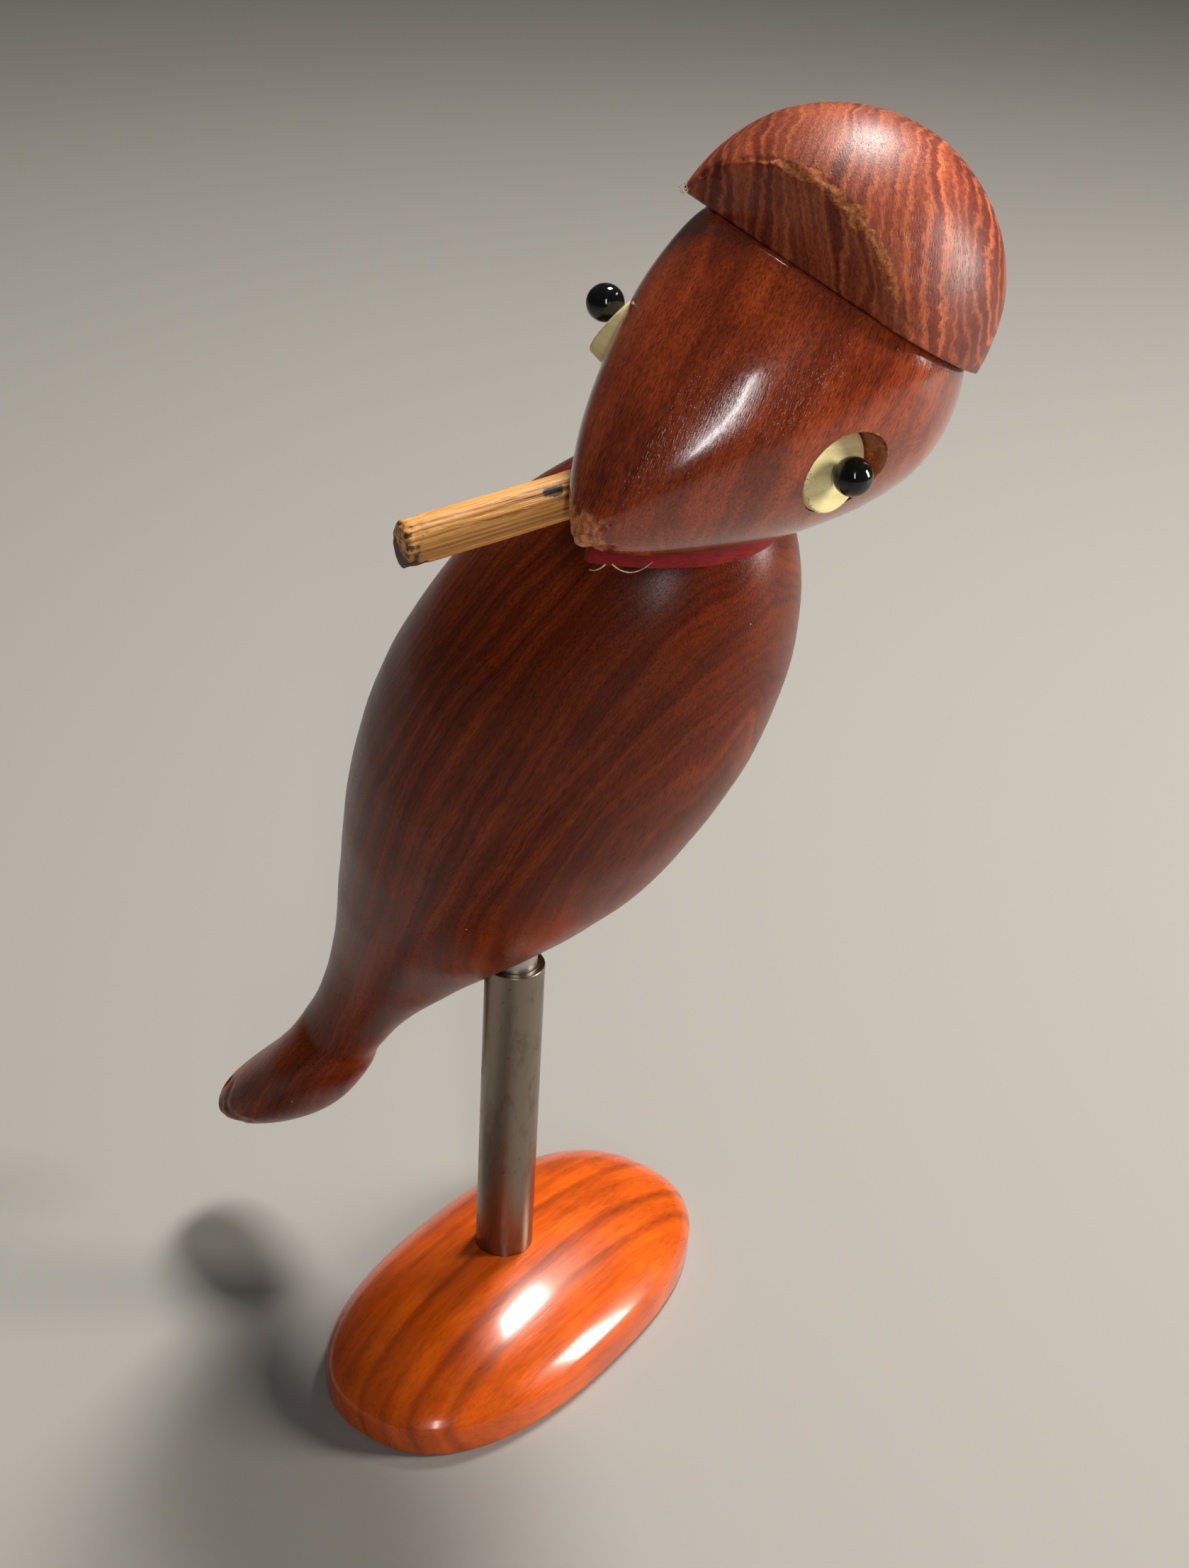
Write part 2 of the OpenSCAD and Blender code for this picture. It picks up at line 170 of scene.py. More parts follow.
class BirdColours(PropertyGroup):
    """Colours of the finishes."""

    base_light: colour("Base, light", "Lightest wood of the base", (0.84, 0.17, 0.004))
    base_mid: colour("Base, middle", "Main wood of the base", (0.72, 0.105, 0.003))
    base_dark: colour("Base, dark", "Dark streaks of the base", (0.20, 0.026, 0.003))
    body_light: colour("Body, light", "Lightest wood of the body", (0.36, 0.060, 0.010))
    body_mid: colour("Body, middle", "Main wood of the body", (0.175, 0.025, 0.005))
    body_dark: colour("Body, dark", "Dark lines of the body", (0.06, 0.008, 0.003))
    head_light: colour("Head, light", "Lightest wood of the head", (0.66, 0.115, 0.020))
    head_mid: colour("Head, middle", "Main wood of the head", (0.36, 0.055, 0.012))
    head_dark: colour("Head, dark", "Dark flecks of the head", (0.11, 0.014, 0.005))
    cap_light: colour("Cap, light", "Light lines of the cap", (0.66, 0.17, 0.065))
    cap_mid: colour("Cap, middle", "Main wood of the cap", (0.24, 0.042, 0.020))
    cap_dark: colour("Cap, dark", "Dark lines of the cap", (0.12, 0.021, 0.012))
    raw_wood: colour("Raw wood", "Wood laid bare where the finish is worn", (0.80, 0.30, 0.09))
    mouth_red: colour("Mouth red", "Paint of the mouth plate", (0.24, 0.005, 0.006))
    eye_cream: colour("Eye cream", "Pale wood of the eyes", (0.93, 0.82, 0.42))
    bead_black: colour("Bead black", "Glass-like black of the beads", (0.006, 0.006, 0.007))
    stick_light: colour("Stick, light", "Light wood of the stick", (0.95, 0.47, 0.12))
    stick_dark: colour("Stick, dark", "Dark lines of the stick", (0.30, 0.12, 0.03))
    steel: colour("Steel", "Drawn steel of the leg", (0.26, 0.215, 0.17))
    dust: colour("Dust", "Pale specks on the wood", (0.75, 0.62, 0.52))
    floor: colour("Floor", "Plain pale floor", (0.33, 0.315, 0.29))


# --- Places -----------------------------------------------------------------


def turned(axis, radians):
    """Rotation matrix about one axis."""
    return np.array(Matrix.Rotation(radians, 3, axis))


class Place:
    """A frame inside the object: an origin, and axes in the columns of a matrix."""

    def __init__(self, origin, axes):
        self.origin = np.asarray(origin, float)
        self.axes = np.asarray(axes, float)

    def move(self, x, y, z):
        """The same axes, with the origin moved along them."""
        return Place(self.origin + self.axes @ np.array([x, y, z]), self.axes)

    def turn(self, axis, radians):
        """The same origin, with the axes turned about one of them."""
        return Place(self.origin, self.axes @ turned(axis, radians))

    def out(self, points):
        """Points given in this frame, in the object's."""
        return points @ self.axes.T + self.origin

    def into(self, points):
        """Points given in the object's frame, in this one."""
        return (points - self.origin) @ self.axes


def leg_place():
    """On the leg's axis at table level."""
    s = bpy.context.scene.bird_stand
    return Place((s.leg_x, s.leg_y, 0), np.eye(3))


def body_place():
    """On the leg's axis, X the way the body faces."""
    return leg_place().turn("Z", bpy.context.scene.bird_body.turn)


def egg_place():
    """Middle of the body's widest section, Z up its axis and X to its chest."""
    b = bpy.context.scene.bird_body
    return body_place().move(b.forward, 0, b.height).turn("Y", math.pi / 2 - b.slope)


def neck_place():
    """Middle of the head, Z along the neck peg, X the way the body faces."""
    h = bpy.context.scene.bird_head
    return body_place().move(h.forward, 0, h.height).turn("Y", h.lean)


def head_place():
    """Middle of the head, Z along the neck peg, X to the beak's side."""
    return neck_place().turn("Z", bpy.context.scene.bird_head.turn)


def beak_place():
    """Middle of the head's bulk, Z out along the beak."""
    h = bpy.context.scene.bird_head
    return head_place().move(0, h.offset, 0).turn("Y", math.pi / 2 + h.beak_drop)


def cap_place():
    """Middle of the cap's flat underside, Z up through its crown."""
    h = bpy.context.scene.bird_head
    return head_place().turn("Y", -h.cap_tilt).move(0, 0, h.cap_level)


def eye_place(side):
    """On the head's middle plane, Z out through the eye; side is 1 for the bird's left."""
    h = bpy.context.scene.bird_head
    level_out = head_place().move(h.eye_forward, 0, -h.eye_down).turn("Z", -side * h.eye_toe)
    return level_out.turn("X", side * (h.eye_tilt - math.pi / 2))


def stick_place():
    """Where the stick leaves the beak, Z out along it."""
    h = bpy.context.scene.bird_head
    out = head_place().move(h.stick_forward, -h.stick_side, -h.mouth - h.stick_below)
    return out.turn("Z", -h.stick_turn).turn("Y", math.pi / 2 + h.stick_drop)


# --- Surfaces ---------------------------------------------------------------


def ripple(points, wavelength, seed):
    """Smooth noise from about -1 to 1: the mean of 24 sine waves in fixed chance directions, with
    wavelengths near the one given."""
    chance = np.random.default_rng(seed)
    ways = chance.normal(size=(24, 3))
    ways /= np.linalg.norm(ways, axis=1, keepdims=True)
    pace = 2 * math.pi / (wavelength * chance.uniform(0.6, 1.6, 24))
    start = chance.uniform(0, 2 * math.pi, 24)
    return np.sin(points @ (ways * pace[:, None]).T + start).sum(-1) / math.sqrt(24) * 0.8


def smooth_step(low, high, value):
    """0 below low, 1 above high, and a smooth rise between them."""
    t = np.clip((value - low) / (high - low), 0, 1)
    return t * t * (3 - 2 * t)


def larger(a, b, soft):
    """The larger of two distances, rounded over where they are within soft of each other."""
    near = np.maximum(soft - np.abs(a - b), 0) / soft
    return np.maximum(a, b) + near * near * soft / 4


def cast(ways, outside, reach):
    """For each direction, the point where outside() turns from negative to positive, found by halving the
    stretch 26 times."""
    near, far = np.zeros(ways.shape[:-1]), np.full(ways.shape[:-1], reach)
    for _ in range(26):
        middle = (near + far) / 2
        within = outside(middle[..., None] * ways) < 0
        near, far = np.where(within, middle, near), np.where(within, far, middle)
    return near[..., None] * ways


def sunk(points, depth):
    """Points moved towards the origin by a depth each."""
    return points * (1 - depth / np.linalg.norm(points, axis=-1))[..., None]


def full_turn(around):
    """Angles once round, the last one left out."""
    return np.linspace(0, 2 * math.pi, around, endpoint=False)


def round_rings(radii, heights, turn):
    """Rings about the Z axis: x = r cos t, y = r sin t, z = height."""
    return np.stack([radii * np.cos(turn), radii * np.sin(turn), heights + 0 * turn], -1)


def level(outline, height):
    """A flat ring: an outline in X and Y, at one height."""
    return np.column_stack([outline, np.full(len(outline), height)])


def all_ways(rows, around):
    """A grid of directions from the bottom pole to the top one, the poles left out."""
    rise = np.linspace(-math.pi / 2, math.pi / 2, rows + 2)[1:-1, None]
    return round_rings(np.cos(rise), np.sin(rise), full_turn(around)[None, :])


def ring_faces(rows, around):
    """Quads between neighbouring rings, facing outwards when the rings rise and run anticlockwise from
    above."""
    i, j = np.meshgrid(np.arange(rows - 1), np.arange(around), indexing="ij")
    a, b = i * around + j, i * around + (j + 1) % around
    return np.stack([a, b, b + around, a + around], -1).reshape(-1, 4)


def piece_from(name, points, quads, triangles=None, sharp=35):
    """A mesh object from arrays of points and faces, smooth but for edges sharper than the angle given in
    degrees."""
    mesh = bpy.data.meshes.new(name)
    faces = quads.tolist() + ([] if triangles is None else triangles.tolist())
    mesh.from_pydata(points.tolist(), [], faces)
    mesh.validate()
    mesh.update()
    piece = bpy.data.objects.new(name, mesh)
    bpy.context.scene.collection.objects.link(piece)
    mesh.shade_smooth()
    mesh.set_sharp_from_angle(angle=math.radians(sharp))
    return piece


def closed_rings(name, rings, place=None, sharp=35):
    """A closed surface over rings of points, which rise along Z and run anticlockwise seen from above,
    with a fan of triangles to the middle of each end ring."""
    rows, around, _ = rings.shape
    points = np.concatenate([rings.reshape(-1, 3), rings[0].mean(0)[None], rings[-1].mean(0)[None]])
    if place:
        points = place.out(points)
    j = np.arange(around)
    k = (j + 1) % around
    low, high, last = rows * around, rows * around + 1, (rows - 1) * around
    fans = np.concatenate(
        [np.stack([k, j, 0 * j + low], -1), np.stack([last + j, last + k, 0 * j + high], -1)]
    )
    return piece_from(name, points, ring_faces(rows, around), fans, sharp)


def turned_piece(name, radii, heights, place, around=96, sharp=35):
    """A turned solid: a profile of radius against height, carried once round the Z axis."""
    r, z = np.asarray(radii, float)[:, None], np.asarray(heights, float)[:, None]
    return closed_rings(name, round_rings(r, z, full_turn(around)), place, sharp)


def rod(name, radius, low, high, place, around=96, bevel=0.0):
    """A round rod between two heights, with its ends bevelled."""
    return turned_piece(
        name,
        [radius * 0.5, radius - bevel, radius, radius, radius - bevel, radius * 0.5],
        [low, low, low + bevel + 1e-7, high - bevel - 1e-7, high, high],
        place,
        around,
    )


def carve(piece, cutters, sharp=35):
    """Cuts closed cutters out of a closed piece, and drops them."""
    for cutter in cutters:
        cut = piece.modifiers.new("Cut", "BOOLEAN")
        cut.operation, cut.solver, cut.object = "DIFFERENCE", "MANIFOLD", cutter
    bpy.context.view_layer.update()
    mesh = bpy.data.meshes.new_from_object(piece.evaluated_get(bpy.context.evaluated_depsgraph_get()))
    piece.modifiers.clear()
    piece.data = mesh
    mesh.shade_smooth()
    mesh.set_sharp_from_angle(angle=math.radians(sharp))
    for cutter in cutters:
        bpy.data.objects.remove(cutter)
    return piece


def corners(piece):
    """The piece's vertices as an array."""
    flat = np.zeros(len(piece.data.vertices) * 3, np.float32)
    piece.data.vertices.foreach_get("co", flat)
    return flat.reshape(-1, 3).astype(float)


def mark(piece, name, values):
    """Keeps one number for each vertex, for the materials to read."""
    layer = piece.data.attributes.new(name, "FLOAT", "POINT")
    layer.data.foreach_set("value", np.asarray(values, np.float32))


def strands(name, roots, tips, bend, radius, sides=5, steps=8):
    """Thin hairs, each a tube along a bent line from its root to its tip: the straight line plus a push
    that is largest halfway, and a radius that runs out at the tip."""
    t = np.linspace(0, 1, steps)[None, :, None]
    line = roots[:, None] * (1 - t) + tips[:, None] * t + bend[:, None] * (4 * t * (1 - t))
    along = np.gradient(line, axis=1)
    along /= np.linalg.norm(along, axis=-1, keepdims=True)
    side = np.cross(along, np.array([0.31, 0.53, 0.79]))
    side /= np.linalg.norm(side, axis=-1, keepdims=True)
    other = np.cross(along, side)
    turn = full_turn(sides)
    thick = radius * (1 - 0.75 * t[..., 0] ** 2)
    tube = line[:, :, None] + thick[..., None, None] * (
        np.cos(turn)[:, None] * side[:, :, None] + np.sin(turn)[:, None] * other[:, :, None]
    )
    count, per = len(roots), steps * sides
    quads = (ring_faces(steps, sides)[None] + (np.arange(count) * per)[:, None, None]).reshape(-1, 4)
    ends = np.concatenate([line[:, 0], line[:, -1]])
    j = np.arange(sides)
    k = (j + 1) % sides
    shift = (np.arange(count) * per)[:, None]
    low = np.stack([shift + k, shift + j, 0 * j + count * per + np.arange(count)[:, None]], -1)
    top = shift + per - sides
    high = np.stack([top + j, top + k, 0 * j + count * per + count + np.arange(count)[:, None]], -1)
    points = np.concatenate([tube.reshape(-1, 3), ends])
    return piece_from(name, points, quads, np.concatenate([low.reshape(-1, 3), high.reshape(-1, 3)]), 80)


def settle(piece, body, material, slot, *nodes):
    """Gives a finished piece its material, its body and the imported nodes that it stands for."""
    piece.data.materials.clear()
    piece.data.materials.append(material)
    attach(piece, body)
    if nodes:
        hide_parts(*nodes)
    return piece


# --- Node helpers -----------------------------------------------------------


def add(tree, kind, inputs=None, **settings):
    """Adds a node, sets its settings, and fills or links its inputs."""
    node = tree.nodes.new(kind)
    node.location = (180 * (len(tree.nodes) % 9), -260 * (len(tree.nodes) // 9))
    for name, value in settings.items():
        setattr(node, name, value)
    for name, value in (inputs or {}).items():
        if isinstance(value, bpy.types.NodeSocket):
            tree.links.new(value, node.inputs[name])
        else:
            node.inputs[name].default_value = value
    return node


def calc(tree, operation, a, b=0.0):
    """A Math node on one or two numbers or sockets."""
    return add(tree, "ShaderNodeMath", {0: a, 1: b}, operation=operation).outputs[0]


def times(tree, a, b):
    """The product of two numbers or sockets."""
    return calc(tree, "MULTIPLY", a, b)


def plus(tree, a, b):
    """The sum of two numbers or sockets."""
    return calc(tree, "ADD", a, b)


def minus(tree, a, b):
    """The difference of two numbers or sockets."""
    return calc(tree, "SUBTRACT", a, b)


def over(tree, a, b):
    """The ratio of two numbers or sockets."""
    return calc(tree, "DIVIDE", a, b)


def stretch(tree, vector, factors):
    """A vector with each part multiplied by its own factor."""
    return add(tree, "ShaderNodeVectorMath", {0: vector, 1: factors}, operation="MULTIPLY").outputs[0]


def cloud(tree, vector, scale, detail=2.0, roughness=0.55):
    """Noise of a vector, from 0 to 1."""
    inputs = {"Vector": vector, "Scale": scale, "Detail": detail, "Roughness": roughness}
    return add(tree, "ShaderNodeTexNoise", inputs).outputs["Fac"]


def ease(tree, value, low, high):
    """A smooth rise from 0 to 1 as the value goes from low to high."""
    inputs = {"Value": value, "From Min": low, "From Max": high}
    return add(tree, "ShaderNodeMapRange", inputs, interpolation_type="SMOOTHSTEP").outputs["Result"]


def blend(tree, amount, first, second, mode="MIX"):
    """Two colours mixed by an amount."""
    node = add(tree, "ShaderNodeMix", data_type="RGBA", blend_type=mode)
    for socket, value in ((node.inputs[0], amount), (node.inputs[6], first), (node.inputs[7], second)):
        if isinstance(value, bpy.types.NodeSocket):
            tree.links.new(value, socket)
        else:
            socket.default_value = value if isinstance(value, float) else (*value[:3], 1)
    return node.outputs[2]


def new_group(name, inputs, outputs):
    """An empty node group with named inputs and outputs, and its two end nodes."""
    group = bpy.data.node_groups.new(name, "ShaderNodeTree")
    for label, kind, default in inputs:
        socket = group.interface.new_socket(name=label, in_out="INPUT", socket_type=kind)
        if default is not None:
            socket.default_value = default
    for label in outputs:
        group.interface.new_socket(name=label, in_out="OUTPUT", socket_type="NodeSocketFloat")
    return group, group.nodes.new("NodeGroupInput").outputs, group.nodes.new("NodeGroupOutput").inputs


def grain_group():
    """Growth layers, thin ring lines, fibres and pores of wood. The vector is in millimetres, X along the
    grain and Y across the layers. Y is pushed about by slow and quick noise. Layers are noise of it,
    nearly constant along X. A ring line is a quick rise and a slow fall in each ring's width, with a
    chance strength for each ring. Fibres and pores are fine noise drawn out along X."""
    name = "Wood Grain"
    if name in bpy.data.node_groups:
        return bpy.data.node_groups[name]
    number = "NodeSocketFloat"
    sizes = (
        ("Layer Width", 1.0),
        ("Ring Width", 1.0),
        ("Warp", 2.0),
        ("Jag", 0.3),
        ("Stroke", 0.5),
        ("Fineness", 1.0),
    )
    group, given, out = new_group(
        name,
        [("Vector", "NodeSocketVector", None), *[(label, number, default) for label, default in sizes]],
        ["Layers", "Rings", "Fibre", "Pores", "Height"],
    )
    v = given["Vector"]
    slow = times(group, minus(group, cloud(group, stretch(group, v, (0.3, 1, 1)), 0.075), 0.5), given["Warp"])
    quick = times(
        group,
        minus(group, cloud(group, stretch(group, v, (1, 0.4, 0.6)), 0.85, 4.0, 0.65), 0.5),
        given["Jag"],
    )
    part = add(group, "ShaderNodeSeparateXYZ", {0: v})
    across = plus(group, part.outputs["Y"], plus(group, slow, quick))
    layer = add(
        group,
        "ShaderNodeCombineXYZ",
        {
            "X": times(group, part.outputs["X"], 0.012),
            "Y": over(group, across, given["Layer Width"]),
            "Z": times(group, part.outputs["Z"], 0.03),
        },
    ).outputs[0]
    layers = ease(group, cloud(group, layer, 1.0, 3.0, 0.6), 0.28, 0.72)
    count = over(group, across, given["Ring Width"])
    within = calc(group, "FRACT", count)
    chance = add(
        group, "ShaderNodeTexWhiteNoise", {"W": calc(group, "FLOOR", count)}, noise_dimensions="1D"
    ).outputs["Value"]
    line = times(group, ease(group, within, 0.15, 0.4), minus(group, 1.0, ease(group, within, 0.42, 0.78)))
    rings = times(group, line, plus(group, times(group, chance, 0.75), 0.25))
    fine = add(
        group, "ShaderNodeVectorMath", {0: v, "Scale": given["Fineness"]}, operation="SCALE"
    ).outputs[0]
    drawn = add(group, "ShaderNodeCombineXYZ", {"X": given["Stroke"], "Y": 4.5, "Z": 4.5}).outputs[0]
    threads = add(group, "ShaderNodeVectorMath", {0: fine, 1: drawn}, operation="MULTIPLY").outputs[0]
    fibre = cloud(group, threads, 1.0, 3.0, 0.6)
    pores = ease(group, cloud(group, threads, 1.45, 1.0), 0.58, 0.70)
    height = minus(group, times(group, fibre, 0.6), times(group, pores, 0.5))
    for label, value in (
        ("Layers", layers), ("Rings", rings), ("Fibre", fibre), ("Pores", pores), ("Height", height)
    ):
        group.links.new(value, out[label])
    return group


def wear_group():
    """Edge wear: the marked wear of a vertex, broken up by noise, as a mask with ragged borders."""
    name = "Edge Wear"
    if name in bpy.data.node_groups:
        return bpy.data.node_groups[name]
    number = "NodeSocketFloat"
    group, given, out = new_group(
        name,
        [
            ("Vector", "NodeSocketVector", None),
            ("Wear", number, 0.0),
            ("Patch", number, 1.2),
            ("Ragged", number, 1.2),
        ],
        ["Mask"],
    )
    noise = minus(group, cloud(group, given["Vector"], given["Patch"], 4.0, 0.7), 0.5)
    pushed = plus(group, given["Wear"], times(group, noise, given["Ragged"]))
    shown = times(group, ease(group, pushed, 0.38, 0.62), ease(group, given["Wear"], 0.02, 0.2))
    group.links.new(shown, out["Mask"])
    return group


def dust_group():
    """Sparse pale specks: small dots round the points of a cell pattern, kept only in a share of the
    cells."""
    name = "Dust Specks"
    if name in bpy.data.node_groups:
        return bpy.data.node_groups[name]
    number = "NodeSocketFloat"
    group, given, out = new_group(
        name,
        [
            ("Vector", "NodeSocketVector", None),
            ("Spacing", number, 3.0),
            ("Share", number, 0.2),
            ("Size", number, 0.05),
        ],
        ["Mask"],
    )
    scale = over(group, 1.0, given["Spacing"])
    cells = add(group, "ShaderNodeTexVoronoi", {"Vector": given["Vector"], "Scale": scale})
    chance = add(group, "ShaderNodeSeparateColor", {0: cells.outputs["Color"]})
    dot = calc(
        group,
        "LESS_THAN",
        cells.outputs["Distance"],
        times(group, given["Size"], plus(group, chance.outputs[1], 0.4)),
    )
    kept = calc(group, "LESS_THAN", chance.outputs[0], given["Share"])
    group.links.new(times(group, dot, kept), out["Mask"])
    return group


def use(tree, group, **inputs):
    """Places a node group in a tree with its own values; underscores in names stand for spaces."""
    node = add(tree, "ShaderNodeGroup", node_tree=group)
    for name, value in inputs.items():
        socket = node.inputs[name.replace("_", " ")]
        if isinstance(value, bpy.types.NodeSocket):
            tree.links.new(value, socket)
        else:
            socket.default_value = value
    return node.outputs


def new_material(name):
    """A material with only a Principled BSDF, ready to be wired."""
    material = bpy.data.materials.new(name)
    material.use_nodes = True
    tree = material.node_tree
    return material, tree, tree.nodes["Principled BSDF"]


def wood_vector(tree, grain, across):
    """The piece's own place in millimetres, turned so that X runs along the grain and Y across the growth
    layers."""
    x = np.array(grain, float)
    x /= np.linalg.norm(x)
    y = np.array(across, float)
    y -= x * (x @ y)
    y /= np.linalg.norm(y)
    turn = Matrix(np.array([x, y, np.cross(x, y)]).tolist()).to_euler("XYZ")
    where = add(tree, "ShaderNodeTexCoord").outputs["Object"]
    inputs = {"Vector": where, "Rotation": turn, "Scale": (1000, 1000, 1000)}
    return add(tree, "ShaderNodeMapping", inputs, vector_type="POINT").outputs[0]


def ramp(tree, value, stops):
    """A colour ramp with the given (place, colour) stops."""
    node = add(tree, "ShaderNodeValToRGB", {0: value})
    while len(node.color_ramp.elements) < len(stops):
        node.color_ramp.elements.new(0.5)
    for element, (place, shade) in zip(node.color_ramp.elements, stops):
        element.position, element.color = place, (*shade[:3], 1)
    return node.outputs["Color"]


def finish(tree, shader, base, rough, height, strength, distance=0.0001):
    """Wires a colour, a roughness and a relief into a material's shader."""
    tree.links.new(base, shader.inputs["Base Color"])
    tree.links.new(rough, shader.inputs["Roughness"])
    relief = add(tree, "ShaderNodeBump", {"Height": height, "Strength": strength, "Distance": distance})
    tree.links.new(relief.outputs[0], shader.inputs["Normal"])


def wood(name, shades, line, grain, across, layers, look, roughness, shine, bump, worn=None, specks=None):
    """Finished wood. shades are dark, middle and light, and line is the ring lines' colour; grain and across
    are directions; layers are the Wood Grain group's values; look is the strength of layers, rings, fibres,
    pores and broad patches; shine is the specular level, coat weight and coat roughness; worn is the Patch
    and Ragged of bare wood, and specks the Spacing, Share and Size of the dust."""
    material, tree, shader = new_material(name)
    c = bpy.context.scene.bird_colours
    vector = wood_vector(tree, grain, across)
    figure = use(tree, grain_group(), Vector=vector, **layers)
    layered, ringed, fibrous, porous, patchy = look
    base = ramp(tree, figure["Layers"], [(0.08, shades[0]), (0.5, shades[1]), (0.92, shades[2])])
    base = blend(tree, layered, shades[1], base)
    base = blend(tree, times(tree, figure["Rings"], ringed), base, line)
    thread = ramp(
        tree,
        figure["Fibre"],
        [(0.34, (0.30, 0.24, 0.22)), (0.5, (0.86, 0.84, 0.82)), (0.66, (1.25, 1.25, 1.2))],
    )
    base = blend(tree, fibrous, base, thread, "MULTIPLY")
    base = blend(tree, times(tree, figure["Pores"], porous), base, np.array(shades[0]) * 0.5)
    patch = ramp(
        tree,
        cloud(tree, stretch(tree, vector, (0.6, 1, 1)), 0.16, 3.0),
        [(0.36, (0.42, 0.34, 0.32)), (0.62, (1.15, 1.15, 1.1))],
    )
    base = blend(tree, patchy, base, patch, "MULTIPLY")
    rough = plus(tree, times(tree, minus(tree, figure["Fibre"], 0.5), 0.2), roughness)
    height = figure["Height"]
    if worn:
        marked = add(tree, "ShaderNodeAttribute", attribute_name="wear").outputs["Fac"]
        bare = use(tree, wear_group(), Vector=vector, Wear=marked, Patch=worn[0], Ragged=worn[1])["Mask"]
        raw = np.array(c.raw_wood)
        lit = ramp(
            tree,
            cloud(tree, vector, 1.7, 4.0, 0.7),
            [(0.36, raw * (0.22, 0.16, 0.16)), (0.5, raw * (0.7, 0.55, 0.5)), (0.64, raw)],
        )
        base = blend(tree, times(tree, bare, 0.85), base, lit)
        rough = plus(tree, rough, times(tree, bare, 0.3))
        height = minus(tree, height, times(tree, bare, plus(tree, figure["Fibre"], 0.4)))
    if specks:
        mask = use(
            tree, dust_group(), Vector=vector, Spacing=specks[0], Share=specks[1], Size=specks[2]
        )["Mask"]
        base = blend(tree, times(tree, mask, 0.7), base, c.dust)
        rough = plus(tree, rough, times(tree, mask, 0.3))
    finish(tree, shader, base, calc(tree, "MAXIMUM", rough, 0.05), height, bump)
    for socket, value in zip(("Specular IOR Level", "Coat Weight", "Coat Roughness"), shine):
        shader.inputs[socket].default_value = value
    return material


# --- Materials --------------------------------------------------------------


def base_wood():
    """Glossy orange-brown wood with thin dark straight lines along the base."""
    c = bpy.context.scene.bird_colours
    return wood(
        "Base wood",
        (c.base_dark, c.base_mid, c.base_light),
        np.array(c.base_dark) * 0.8,
        (0.03, 1, 0),
        (1, 0, 0.35),
        layers={
            "Layer_Width": 3.4, "Ring_Width": 3.6, "Warp": 2.2, "Jag": 0.35, "Stroke": 0.25, "Fineness": 0.5
        },
        look=(0.25, 0.62, 0.22, 0.12, 0.4),
        roughness=0.30,
        shine=(0.25, 0.7, 0.14),
        bump=0.12,
    )


def body_wood():
    """Dark red-brown satin wood with fine lines along the body."""
    c = bpy.context.scene.bird_colours
    egg = egg_place()
    return wood(
        "Body wood",
        (c.body_dark, c.body_mid, c.body_light),
        c.body_dark,
        egg.axes[:, 2],
        (-0.90, 0.14, 0.41),
        layers={
            "Layer_Width": 1.6, "Ring_Width": 0.95, "Warp": 7.0, "Jag": 0.35, "Stroke": 0.5, "Fineness": 1.15
        },
        look=(0.4, 0.6, 0.6, 0.4, 0.35),
        roughness=0.30,
        shine=(0.22, 0.0, 0.25),
        bump=0.25,
        worn=(1.4, 0.8),
        specks=(3.0, 0.06, 0.06),
    )


def head_wood():
    """Red-brown polished wood with short flecks, worn to bare wood at the beak's tip."""
    c = bpy.context.scene.bird_colours
    return wood(
        "Head wood",
        (c.head_dark, c.head_mid, c.head_light),
        c.head_dark,
        (0.08, 0.5, 0.86),
        (0.83, 0.56, 0.1),
        layers={
            "Layer_Width": 3.2, "Ring_Width": 1.3, "Warp": 6.0, "Jag": 0.7, "Stroke": 0.8, "Fineness": 1.25
        },
        look=(0.45, 0.25, 0.75, 0.4, 0.6),
        roughness=0.16,
        shine=(0.6, 0.5, 0.11),
        bump=0.3,
        worn=(0.9, 1.5),
        specks=(3.2, 0.05, 0.05),
    )


def cap_wood():
    """Lighter red-brown wood with wavy light lines, and a bright worn edge along the cut."""
    c = bpy.context.scene.bird_colours
    return wood(
        "Cap wood",
        (c.cap_dark, c.cap_mid, c.cap_light),
        c.cap_light,
        (-0.28, 0.36, 0.89),
        (0.85, 0.46, 0.25),
        layers={
            "Layer_Width": 3.5, "Ring_Width": 1.2, "Warp": 8.0, "Jag": 1.5, "Stroke": 0.8, "Fineness": 1.0
        },
        look=(0.45, 1.0, 0.5, 0.35, 0.5),
        roughness=0.40,
        shine=(0.35, 0.0, 0.3),
        bump=0.3,
        worn=(0.7, 1.5),
        specks=(3.2, 0.07, 0.05),
    )


def peg_wood():
    """Plain pale dowel."""
    pale = np.array((0.60, 0.42, 0.22))
    return wood(
        "Peg wood",
        (pale * 0.6, pale, pale * 1.2),
        pale * 0.7,
        (0.3, 0, 0.95),
        (0, 1, 0),
        layers={
            "Layer_Width": 1.2, "Ring_Width": 1.0, "Warp": 1.0, "Jag": 0.2, "Stroke": 0.3, "Fineness": 1.0
        },
        look=(0.5, 0.4, 0.4, 0.3, 0.2),
        roughness=0.6,
        shine=(0.4, 0.0, 0.3),
        bump=0.3,
    )


